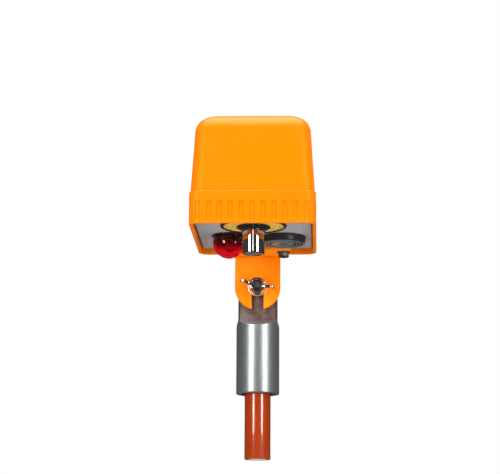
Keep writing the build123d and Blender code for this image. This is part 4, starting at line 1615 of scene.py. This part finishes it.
@dataclass
class Lamp:
    """Red domed signal lamp: lens, low black ring, near-black core and dark disc, the last two
    painting shade inside the lens.
    """

    centre: Point = (-0.0243, -0.080, 0.1959)
    radius: float = 0.0153
    wall: float = 0.002
    seat: float = 0.2025
    core_radius: float = 0.0084
    stem: Pair = (0.0025, 0.0034)
    ring_radii: Pair = (0.0147, 0.0164)
    ring_height: float = 0.0016
    # Size of the dark disc of painted shade under the lens.
    painted_shade_disc_radii: Pair = (0.0027, 0.0131)
    painted_shade_disc_dish: float = 0.009

    def at(self, z: float) -> Point:
        """Gives the point of the lamp's axis at a height."""
        return (self.centre[0], self.centre[1], z)

    def lens(self) -> None:
        """Builds the domed lens with its even wall."""
        rise = self.seat - self.centre[2]
        inner = self.radius - self.wall
        start = math.degrees(math.asin(rise / self.radius))
        inner_start = math.degrees(math.asin(rise / inner))
        outside = Bench.arc((0.0, 0.0), self.radius, -90.0, start, 40)
        inside = Bench.arc((0.0, 0.0), inner, inner_start, -90.0, 36)
        outside[0] = (0.0, -self.radius)
        inside[-1] = (0.0, -inner)
        lens = Bench.lathe("lamp_dome", [*outside, *inside], self.centre, Axis.UP, 96)
        Bench.hand_over(lens, "detector", RED_LENS, "lamp_lens", angle=50.0)

    def ring(self) -> None:
        """Builds the low ring round the lens."""
        inner, outer = self.ring_radii
        half = self.ring_height / 2
        crown = Bench.arc((outer - half, -half), half, 0.0, -90.0, 5)
        lip = [(inner + 0.0002, -self.ring_height), (inner, 0.0003 - self.ring_height)]
        profile = [(inner, 0.0), (outer, 0.0), *crown, *lip, (inner, 0.0)]
        ring = Bench.lathe("lamp_ring", profile, self.at(self.seat), Axis.UP, 96)
        Bench.hand_over(ring, "detector", GLOSS_BLACK, "lamp_bezel", angle=32.0)

    def core(self) -> None:
        """Builds the cap over the light source, with its stem; its near-black colour paints the
        shade inside the lens.
        """
        r = self.core_radius
        dome = Bench.arc((0.0, 0.0), r, -90.0, 0.0, 20)
        dome[0] = (0.0, -r)
        stem, length = self.stem
        profile = [*dome, (stem, 0.0), (stem, length), (0.0, length)]
        core = Bench.lathe("lamp_core", profile, self.at(self.seat - 0.0014), Axis.UP, 64)
        Bench.hand_over(core, "detector", PAINTED_SHADE_CORE, "lamp_led", angle=50.0)

    def painted_shade_disc(self) -> None:
        """Builds a dark dished disc round the core, at the lens's foot, that paints the shade
        inside the lens.
        """
        inner, outer = self.painted_shade_disc_radii
        profile = (
            (inner, 0.0), (outer, 0.0), (outer, -0.0011), (outer - 0.0003, -0.0012),
            (self.painted_shade_disc_dish, -0.0006), (inner, -0.0004), (inner, 0.0),
        )
        painted_shade_disc = Bench.lathe("lamp_painted_shade_disc", profile, self.at(self.seat - 0.0001), Axis.UP, 64)
        Bench.hand_over(painted_shade_disc, "detector", BLACK, angle=32.0)

    def build(self) -> None:
        """Builds, dresses and hands over the lamp."""
        self.lens()
        self.painted_shade_disc()
        self.ring()
        self.core()


@dataclass
class Sounder:
    """Round black sounder with ring grooves and sound holes in its face."""

    centre: Point = (0.0255, -0.072, 0.2025)
    foot_radius: float = 0.02175
    face_radius: float = 0.02095
    height: float = 0.007
    bore: float = 0.0172
    grooves: tuple[Pair, ...] = ((0.0108, 0.0126), (0.0140, 0.0156), (0.0170, 0.0186))
    groove_depth: float = 0.0015
    holes: int = 18
    hole_ring: float = 0.0117
    hole_radius: float = 0.0007
    hole_start: float = 0.1964

    def build(self) -> None:
        """Builds, dresses and hands over the sounder's face."""
        low = -self.height
        crown = Bench.arc((self.face_radius - 0.0016, low + 0.0016), 0.0016, 0.0, -90.0, 8)
        profile: list[Pair] = [
            (self.bore, 0.0), (self.foot_radius, 0.0), (self.foot_radius - 0.0002, low * 0.3),
            *crown,
        ]
        floor = low + self.groove_depth
        for inner, outer in reversed(self.grooves):
            profile += [
                (outer, low), (outer - 0.0001, floor), (inner + 0.0001, floor), (inner, low)
            ]
        profile += [
            (0.0, low + 0.0003), (0.0, low + 0.003), (self.bore, low + 0.003), (self.bore, 0.0)
        ]
        face = Bench.lathe("sounder_face", profile, self.centre, Axis.UP, 112)
        Bench.soften(face, 0.0002, 2)
        spot = (self.centre[0] + self.hole_ring, self.centre[1], self.hole_start)
        first = Bench.rod("hole", self.hole_radius, (0.0, 0.004), spot, Axis.UP, 16)
        holes = [
            Bench.turned_copy(first, math.tau * k / self.holes, Axis.UP, self.centre)
            for k in range(self.holes)
        ]
        bpy.data.objects.remove(first)
        Bench.combine(face, Bench.merged(holes, "holes"), "DIFFERENCE")
        Bench.hand_over(face, "detector", SOUNDER_BLACK, "sounder_bezel", angle=35.0)


# ---------------------------------------------------------------- tongue bracket


def foot_outline(grow: float, height: float) -> list[Point]:
    """Lists the outline of the bracket's foot, which widens to two ears at the front.

    Args:
        grow: Distance added all round.
        height: Height of the points.

    Returns:
        The outline's corner points.
    """
    back, half, radius = -0.0144 + grow, 0.022 + grow, 0.007 + grow
    left = Bench.arc((-0.0256, -0.0355), radius, 160.0, 270.0, 10)
    right = Bench.arc((0.0256, -0.0355), radius, -90.0, 20.0, 10)
    return [(x, y, height) for x, y in [(-half, back), *left, *right, (half, back)]]


@dataclass
class TongueBracket:
    """Orange bracket: foot under the hood and a slotted, round-ended tongue."""

    width: float = 0.044
    front: float = -0.0144
    back: float = -0.0104
    pivot: float = 0.165
    low: float = 0.140
    slot: float = 0.0118
    foot_low: float = 0.1955
    foot_high: float = 0.1995
    foot_front: float = -0.020
    bend: float = 0.005
    teeth: int = 36
    tooth_reach: Pair = (0.0085, 0.0205)

    def side_profile(self) -> list[Point]:
        """Lists the bent side outline of tongue and foot.

        Returns:
            The outline's corner points.
        """
        x = -self.width / 2
        inner = 0.002
        outer = Bench.arc(
            (self.back - self.bend, self.foot_high - self.bend), self.bend, 0.0, 90.0, 8
        )
        hollow = Bench.arc((self.front - inner, self.foot_low - inner), inner, 90.0, 0.0, 6)
        foot = [(self.foot_front, self.foot_high), (self.foot_front, self.foot_low)]
        line = [(self.back, self.low), *outer, *foot, *hollow, (self.front, self.low)]
        return [(x, y, z) for y, z in line]

    def front_profile(self) -> list[Point]:
        """Lists the front outline: round end, open slot and square shoulders.

        Returns:
            The outline's corner points.
        """
        half, gap = self.width / 2, self.slot / 2
        dip = math.degrees(math.asin(gap / half))
        left = Bench.arc((0.0, self.pivot), half, 180.0, 270.0 - dip, 24)
        right = Bench.arc((0.0, self.pivot), half, 270.0 + dip, 360.0, 24)
        inside = Bench.arc((0.0, self.pivot + 0.0005), gap, 180.0, 0.0, 16)
        wide = half + 0.001
        shoulder = [(half, 0.189), (wide, 0.191), (wide, 0.205)]
        mirrored = [(-x, z) for x, z in reversed(shoulder)]
        return [(x, 0.0, z) for x, z in (*mirrored, *left, *inside, *right, *shoulder)]

    def build(self) -> None:
        """Builds, dresses and hands over the bracket."""
        bracket = Bench.prism("tongue_and_foot", self.side_profile(), (self.width, 0.0, 0.0))
        front = Bench.prism("front_shape", self.front_profile(), (0.0, -0.05, 0.0))
        Bench.combine(bracket, front, "INTERSECT")
        foot = Bench.prism("foot", foot_outline(0.0, self.foot_low + 0.00001), (0.0, 0.0, 0.00398))
        Bench.pick(foot, Pick.FACES, lambda at, normal: True)
        plane = {"plane_co": (0.0, -0.0185, 0.2), "plane_no": (0.0, 1.0, 0.0)}
        bpy.ops.mesh.bisect(**plane, clear_outer=True, use_fill=True)
        bpy.ops.object.mode_set(mode="OBJECT")
        Bench.combine(bracket, foot, "UNION")
        Bench.soften(bracket, 0.00035, 3, 50.0)
        Bench.smooth(bracket, 35.0)
        bracket = Bench.merged([*self.radial_teeth(), bracket], "tongue_bracket_body")
        Bench.hand_over(bracket, "detector", ORANGE_TONGUE, "tongue_bracket")

    def radial_teeth(self) -> list[Piece]:
        """Builds the low radial teeth on the tongue's back face."""
        face, gap = self.back - 0.0001, self.slot / 2 + 0.0006
        return radial_teeth(face, 0.0005, self.pivot, self.tooth_reach, self.teeth, 0.5, gap)


def radial_teeth(
    face: float, height: float, pivot: float, reach: Pair, count: int, phase: float, keep_off: float
) -> list[Piece]:
    """Builds a ring of radial V teeth on a face across the pivot axis.

    Args:
        face: Place of the face along y.
        height: Height of the teeth, with its sign along y.
        pivot: Height of the pivot.
        reach: Inner and outer radius.
        count: Number of teeth in a full ring.
        phase: Turn of the first tooth, in teeth.
        keep_off: Half width of an open slot below the pivot that teeth leave free.

    Returns:
        The teeth.
    """
    inner, outer = reach
    outline = [
        (-0.0005, face, pivot + inner), (0.0005, face, pivot + inner),
        (0.0, face + height, pivot + inner),
    ]
    first = Bench.prism("tooth", outline, (0.0, 0.0, outer - inner))
    built = []
    for k in range(count):
        turn = math.tau * (k + phase) / count
        across, up = math.sin(turn) * inner, math.cos(turn)
        if keep_off and up < 0 and abs(across) < keep_off:
            continue
        built.append(Bench.turned_copy(first, -turn, Axis.FRONT, (0.0, face, pivot)))
    bpy.data.objects.remove(first)
    return built


@dataclass
class BracketBolts:
    """Two hex bolts with washers that hold the foot up to the panel."""

    x: float = 0.0256
    y: float = -0.0355
    head_low: float = 0.1903
    head_high: float = 0.1943
    across_flats: float = 0.010
    dish_radius: float = 0.0034
    dish_depth: float = 0.0004
    shank_radius: float = 0.003
    shank_length: float = 0.019
    washer_radius: float = 0.0062
    washer_bore: float = 0.0032
    washer_thickness: float = 0.0012

    def build(self) -> None:
        """Builds, dresses and hands over bolts and washers."""
        corner = self.across_flats / 2 / math.cos(math.radians(30))
        Bench.deselect()
        middle = (0.0, self.y, (self.head_low + self.head_high) / 2)
        tall = self.head_high - self.head_low
        bpy.ops.mesh.primitive_cylinder_add(vertices=6, radius=corner, depth=tall, location=middle)
        head = Bench.settle(bpy.context.object)
        flat = self.across_flats / 2
        under = (0.0, self.y, self.head_low)
        over = tall + 0.001
        profile = ((0.0, 0.0), (flat - 0.0001, 0.0), (corner, 0.0008), (corner, over), (0.0, over))
        turned = Bench.lathe("turned", profile, under, Axis.UP, 64)
        Bench.combine(head, turned, "INTERSECT")
        r, deep = self.dish_radius, self.dish_depth
        profile = ((0.0, -0.001), (r, -0.001), (r, 0.0), (r - 0.0005, deep), (0.0, deep))
        dish = Bench.lathe("dish", profile, under, Axis.UP, 48)
        Bench.combine(head, dish, "DIFFERENCE")
        r, far = self.shank_radius, self.shank_length
        profile = ((0.0, 0.0), (r, 0.0), (r, far - 0.0005), (r - 0.0005, far), (0.0, far))
        shank = Bench.lathe("shank", profile, (0.0, self.y, self.head_high - 0.0002), Axis.UP, 32)
        bolt = Bench.merged([shank, head], "bolt")
        Bench.smooth(bolt, 25.0)
        bore, rim, thick = self.washer_bore, self.washer_radius, self.washer_thickness
        chamfer = 0.0002
        ring = (
            (bore, 0.0), (rim - chamfer, 0.0), (rim, chamfer), (rim, thick - chamfer),
            (rim - chamfer, thick), (bore, thick), (bore, 0.0),
        )
        washer = Bench.lathe("washer", ring, (0.0, self.y, self.head_high), Axis.UP, 64)
        Bench.smooth(washer)
        spots = [(side * self.x, 0.0, 0.0) for side in (-1, 1)]
        bolts = Bench.merged([Bench.copy(bolt, spot) for spot in spots], "foot_bolts")
        washers = Bench.merged([Bench.copy(washer, spot) for spot in spots], "foot_washers")
        for used in (bolt, washer):
            bpy.data.objects.remove(used)
        Bench.hand_over(bolts, "detector", ZINC, "bracket_bolts")
        Bench.hand_over(washers, "detector", ZINC, "bracket_washers")


# ---------------------------------------------------------------- clamp


@dataclass
class Clamp:
    """Pivot bolt, two washers and the wing nut that clamp the tongue."""

    pivot: float = 0.165
    bolt_radius: float = 0.005
    bolt_end: float = -0.0315
    pitch: float = 0.0015
    thread_start: float = -0.0155
    flat_faces: Pair = (-0.01645, -0.01445)
    lock_faces: Pair = (-0.0189, -0.0165)
    flat_radii: Pair = (0.00535, 0.0093)
    lock_radii: Pair = (0.0053, 0.0084)
    split: float = 0.0008
    dome_radius: float = 0.0115
    dome_height: float = 0.0054
    dome_seat: float = 0.0087
    nut_base: float = -0.01895
    nut_face: float = -0.02955
    hub_radii: tuple[float, float, float] = (0.0088, 0.0078, 0.0071)
    bore_radii: Pair = (0.00505, 0.0054)
    wing_tilt: float = 12.0
    wing_thickness: float = 0.0032
    wing_outline: tuple[Pair, ...] = (
        (0.0035, -0.0215), (0.0085, -0.0212), (0.0122, -0.0232), (0.0152, -0.0272),
        (0.0168, -0.0318), (0.0168, -0.0344), (0.0158, -0.0358), (0.0142, -0.0361),
        (0.0125, -0.0352), (0.0104, -0.0325), (0.0082, -0.0303), (0.0035, -0.0292),
    )

    def at(self, y: float) -> Point:
        """Gives the point of the pivot axis at a place along y."""
        return (0.0, y, self.pivot)

    def thread(self) -> Piece:
        """Winds the bolt's thread with a screw modifier.

        Returns:
            The thread.
        """
        minor, crest = self.bolt_radius - 0.0009, self.pitch / 8
        major, start = self.bolt_radius - 0.00005, self.thread_start
        middle = start - self.pitch / 2
        points = [
            (minor, start, 0.0), (major, middle + crest, 0.0), (major, middle - crest, 0.0),
            (minor, start - self.pitch, 0.0),
        ]
        thread = Bench.chain("thread", points)
        bpy.ops.object.mode_set(mode="OBJECT")
        turns = int((start - self.bolt_end - 0.0006) / self.pitch)
        Bench.apply(
            thread,
            "SCREW",
            axis="Y",
            angle=math.tau,
            screw_offset=-self.pitch,
            iterations=turns,
            steps=32,
            render_steps=32,
            use_merge_vertices=True,
            merge_threshold=0.00001,
        )
        Bench.activate(thread)
        bpy.ops.object.mode_set(mode="EDIT")
        bpy.ops.mesh.select_all(action="SELECT")
        bpy.ops.transform.translate(value=(0.0, 0.0, self.pivot))
        Bench.tidy_shell()
        return thread

    def bolt(self) -> None:
        """Builds the carriage bolt: domed head, shank and thread."""
        minor = self.bolt_radius - 0.0009
        reach, start, seat = -self.bolt_end, -self.thread_start, -self.dome_seat
        profile = [
            (0.0, seat), (self.bolt_radius, seat), (self.bolt_radius, start),
            (minor, start + 0.0004), (minor + 0.0001, reach - 0.0008), (minor - 0.0007, reach),
            (0.0, reach),
        ]
        core = Bench.lathe("core", profile, self.at(0.0), Axis.FRONT, 64)
        turns = [math.pi / 2 * k / 14 for k in range(15)]
        dome = [(self.dome_radius * math.cos(t), -self.dome_height * math.sin(t)) for t in turns]
        dome[-1] = (0.0, -self.dome_height)
        profile = [(0.0, 0.0), (self.dome_radius - 0.0003, 0.0), *dome]
        head = Bench.lathe("head", profile, self.at(self.dome_seat), Axis.FRONT, 64)
        Bench.smooth(core, 30.0)
        Bench.smooth(head, 40.0)
        thread = self.thread()
        Bench.smooth(thread, 25.0)
        bolt = Bench.merged([head, thread, core], "clamp_bolt")
        Bench.hand_over(bolt, "pole", ZINC, "pivot_bolt")

    def washers(self) -> None:
        """Builds the flat washer and the split spring washer."""
        far, near = -self.flat_faces[0], -self.flat_faces[1]
        flat = Bench.collar(
            "clamp_flat_washer", self.flat_radii, (near, far), self.at(0.0), Axis.FRONT
        )
        Bench.soften(flat, 0.00025, 2)
        Bench.hand_over(flat, "pivot_washer", STEEL, "flat_washer", angle=32.0)
        far, near = -self.lock_faces[0], -self.lock_faces[1]
        lock = Bench.collar(
            "clamp_spring_washer", self.lock_radii, (near, far), self.at(0.0), Axis.FRONT
        )
        Bench.soften(lock, 0.0002, 2)
        half, back, front = self.split / 2, self.lock_faces[0] - 0.001, self.lock_faces[1] + 0.001
        split = Bench.slab(
            "split", (-half, back, self.pivot + 0.004), (half, front, self.pivot + 0.011)
        )
        Bench.turn(split, math.radians(20.0), Axis.SIDE, (0.0, -0.0177, self.pivot + 0.007))
        Bench.combine(lock, split, "DIFFERENCE")
        Bench.hand_over(lock, "clamp_washer", STEEL, "lock_washer", angle=32.0)

    def wing(self, side: float) -> Piece:
        """Builds one ear of the nut.

        Args:
            side: 1 for the right ear, -1 for the left.

        Returns:
            The ear.
        """
        low = self.pivot - self.wing_thickness / 2
        outline = [(side * x, y, low) for x, y in self.wing_outline]
        ear = Bench.prism("ear", outline, (0.0, 0.0, self.wing_thickness))
        Bench.soften(ear, 0.0008, 2)
        return ear

    def wing_nut(self) -> None:
        """Builds the cast wing nut, lumpy where the ears grow out of the hub."""
        reach = -self.nut_face
        base = -self.nut_base
        foot, waist, rim = self.hub_radii
        profile = (
            (0.0, base), (foot, base), (foot - 0.0002, base + 0.0012), (waist, base + 0.0035),
            (waist - 0.0002, reach - 0.0006), (rim, reach), (0.0, reach),
        )
        nut = Bench.lathe("clamp_wing_nut", profile, self.at(0.0), Axis.FRONT, 64)
        for side in (-1.0, 1.0):
            Bench.combine(nut, self.wing(side), "UNION")
        Bench.turn(nut, math.radians(self.wing_tilt), Axis.FRONT, self.at(0.0))
        Bench.apply(
            nut, "REMESH", mode="VOXEL", voxel_size=0.00032, adaptivity=0.0, use_smooth_shade=True
        )
        Bench.apply(nut, "SMOOTH", factor=0.6, iterations=8)
        hole, mouth = self.bore_radii
        profile = (
            (0.0, base - 0.001), (hole, base - 0.001), (hole, reach - 0.0003),
            (mouth, reach + 0.001), (0.0, reach + 0.001),
        )
        bore = Bench.lathe("bore", profile, self.at(0.0), Axis.FRONT, 64)
        Bench.combine(nut, bore, "DIFFERENCE")
        Bench.hand_over(nut, "clamp_nut", CASTING, "wing_nut", angle=50.0)

    def build(self) -> None:
        """Builds, dresses and hands over the clamp."""
        self.bolt()
        self.washers()
        self.wing_nut()


# ---------------------------------------------------------------- pole end


@dataclass
class PoleEnd:
    """Metal end fitting on the glass-fibre pole."""

    ferrule_low: float = 0.0624
    ferrule_high: float = 0.127
    ferrule_radius: float = 0.0208
    neck_radius: float = 0.0191
    neck: float = 0.1365
    pivot: float = 0.165
    disc_radius: float = 0.0255
    spotface: float = 0.0375
    flat: float = 0.0087
    boss: float = 0.0094
    socket: Pair = (0.016, 0.118)
    pole_radius: float = 0.0125
    pole_bore: float = 0.0095
    pole_seat: float = 0.0123
    pole_top: float = 0.116
    bolt_bore: float = 0.0051
    teeth: int = 36
    tooth_reach: Pair = (0.0085, 0.0165)

    def turned_body(self) -> Piece:
        """Turns the ferrule, shoulder and neck.

        Returns:
            The body as a solid.
        """
        foot = Bench.arc(
            (self.ferrule_radius - 0.001, self.ferrule_low + 0.001), 0.001, -90.0, 0.0, 6
        )
        shoulder = []
        for k in range(11):
            share = k / 10
            ease = share * share * (3 - 2 * share)
            radius = self.ferrule_radius + (self.neck_radius - self.ferrule_radius) * ease
            shoulder.append((radius, self.ferrule_high + (self.neck - self.ferrule_high) * share))
        top = self.pivot + self.disc_radius + 0.001
        profile = [(0.0, self.ferrule_low), *foot, *shoulder, (self.neck_radius, top), (0.0, top)]
        return Bench.lathe("pole_fitting", profile, (0.0, 0.0, 0.0), Axis.UP, 128)

    def arch(self) -> Piece:
        """Makes the outline that the body keeps: straight sides under a round top.

        Returns:
            The solid to keep the overlap with.
        """
        reach = self.disc_radius - 0.00005
        top = Bench.arc((0.0, self.pivot), reach, 0.0, 180.0, 96)
        outline = [(x, 0.031, z) for x, z in ((reach, 0.05), *top, (-reach, 0.05))]
        return Bench.prism("arch", outline, (0.0, -0.062, 0.0))

    def facing(self, side: float) -> Piece:
        """Makes the cutter for one side's flat, which leaves a round boss standing.

        Args:
            side: 1 at the front and -1 at the back.

        Returns:
            The cutter.
        """
        deep, low, out = self.boss * side, self.flat * side, 0.03 * side
        ring = [(self.disc_radius, deep), (self.disc_radius, low), (self.spotface, low)]
        profile = [(0.0, deep), *ring, (self.spotface, out), (0.0, out)]
        return Bench.lathe("facing", profile, (0.0, 0.0, self.pivot), Axis.FRONT, 128)

    def fitting(self) -> None:
        """Cuts the round top, the flats, the bore and the socket, and adds the teeth."""
        body = self.turned_body()
        Bench.combine(body, self.arch(), "INTERSECT")
        for side in (1.0, -1.0):
            Bench.combine(body, self.facing(side), "DIFFERENCE")
        middle = (0.0, 0.0, self.pivot)
        bore = Bench.rod("bore", self.bolt_bore, (-0.02, 0.02), middle, Axis.FRONT, 48)
        Bench.combine(body, bore, "DIFFERENCE")
        radius, roof = self.socket
        socket = Bench.rod("socket", radius, (0.05, roof), (0.0, 0.0, 0.0), Axis.UP, 96)
        Bench.combine(body, socket, "DIFFERENCE")
        Bench.soften(body, 0.0004, 3, 50.0)
        Bench.smooth(body, 35.0)
        face = -self.boss + 0.0001
        teeth = radial_teeth(face, -0.0005, self.pivot, self.tooth_reach, self.teeth, 0.0, 0.0)
        body = Bench.merged([*teeth, body], "pole_fitting")
        Bench.hand_over(body, "pole", SATIN, "pole_head")

    def pole(self) -> None:
        """Builds the pole, cut square at its lower end."""
        outer, inner, seat, top = self.pole_radius, self.pole_bore, self.pole_seat, self.pole_top
        profile = (
            (inner, 0.0), (outer, 0.0), (outer, self.ferrule_low),
            (seat, self.ferrule_low + 0.0002), (seat, top), (inner, top), (inner, 0.0),
        )
        pole = Bench.lathe("fibre_pole", profile, (0.0, 0.0, 0.0), Axis.UP, 128)
        Bench.soften(pole, 0.0002, 2, 60.0)
        Bench.hand_over(pole, "pole", FIBREGLASS, "pole_tube", angle=32.0)

    def build(self) -> None:
        """Builds, dresses and hands over the pole end."""
        self.fitting()
        self.pole()


# ---------------------------------------------------------------- carried-over parts


@dataclass
class Insides:
    """CAD parts that keep their shape and get a finish by material slot."""

    frame: dict
    finishes: dict[str, Finish] = field(default_factory=dict)

    def build(self) -> None:
        """Dresses every CAD node that still shows."""
        slots = {item["slot"]: item for item in self.frame["record"]["materials"]}
        for slot, item in slots.items():
            finish = self.finishes.get(slot)
            if finish is None:
                log.warning("no finish for slot %s", slot)
                continue
            for name in item.get("nodes", ()):
                node = self.frame["nodes"][name]
                if node.hide_render:
                    continue
                node.data.materials.clear()
                node.data.materials.append(finish.material())
                log.info("%s keeps its CAD shape in %s", name, finish.name)


INNER_FINISHES: dict[str, Finish] = {
    "foam_core": Moulded(
        "pole_foam", "foam_core", colour=(0.75, 0.68, 0.45), shade=(0.66, 0.58, 0.36),
        roughness=0.8, grain=900.0, depth=0.0002,
    ),
    "black_plastic": BLACK,
    "bright_steel": STEEL,
    "satin_metal": SATIN,
    "panel_grey": GREY_PANEL,
    "gasket_rubber": RUBBER,
    "white_plastic": WHITE,
    "black_gloss": GLOSS_BLACK,
    "led_red": PAINTED_SHADE_CORE,
    "brass_disc": Metal(
        "brass_disc", "brass_disc", colour=(0.72, 0.52, 0.2), shade=(0.6, 0.42, 0.15),
        roughness=0.3, stretch=(900.0, 60.0, 60.0), depth=0.000004,
    ),
    "board_green": Lacquered(
        "green_board", "board_green", colour=(0.02, 0.14, 0.05), shade=(0.015, 0.11, 0.04),
        roughness=0.35, coat=0.4, specks=0.05,
    ),
    "capacitor_blue": Lacquered(
        "blue_sleeve", "capacitor_blue", colour=(0.02, 0.06, 0.25), shade=(0.015, 0.05, 0.2),
        roughness=0.3, coat=0.4, specks=0.05,
    ),
    "resistor_tan": Moulded(
        "tan_body", "resistor_tan", colour=(0.55, 0.4, 0.22), shade=(0.48, 0.34, 0.18),
        roughness=0.5, grain=2500.0, depth=0.00001,
    ),
    "battery_case": Metal(
        "battery_case", "battery_case", colour=(0.35, 0.35, 0.37), shade=(0.25, 0.25, 0.27),
        roughness=0.4, stretch=(60.0, 1500.0, 60.0), depth=0.000004,
    ),
    "copper_plate": Metal(
        "copper_plate", "copper_plate", colour=(0.8, 0.38, 0.22), shade=(0.62, 0.28, 0.16),
        roughness=0.3, stretch=(60.0, 1500.0, 60.0), depth=0.000004,
    ),
    "lead_insulation": Moulded(
        "lead_insulation", "lead_insulation", colour=(0.45, 0.02, 0.015),
        shade=(0.38, 0.015, 0.012),
        roughness=0.5, grain=2500.0, depth=0.00001,
    ),
}


# ---------------------------------------------------------------- assembly


def build_scene(frame: dict) -> None:
    """Builds the studio and every sub-assembly in order.
    """
    Studio().build()
    face = (Hood(), BasePanel(), Dial(), Selector(), Lamp(), Sounder())
    mount = (TongueBracket(), BracketBolts(), Clamp(), PoleEnd())
    for part in (*face, *mount):
        log.info("building %s", type(part).__name__)
        part.build()
    Insides(frame, INNER_FINISHES).build()


def main() -> None:
    """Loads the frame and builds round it."""
    logging.basicConfig(level=logging.INFO, format="%(message)s")
    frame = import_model()
    build_scene(frame)


if __name__ == "__main__":
    main()
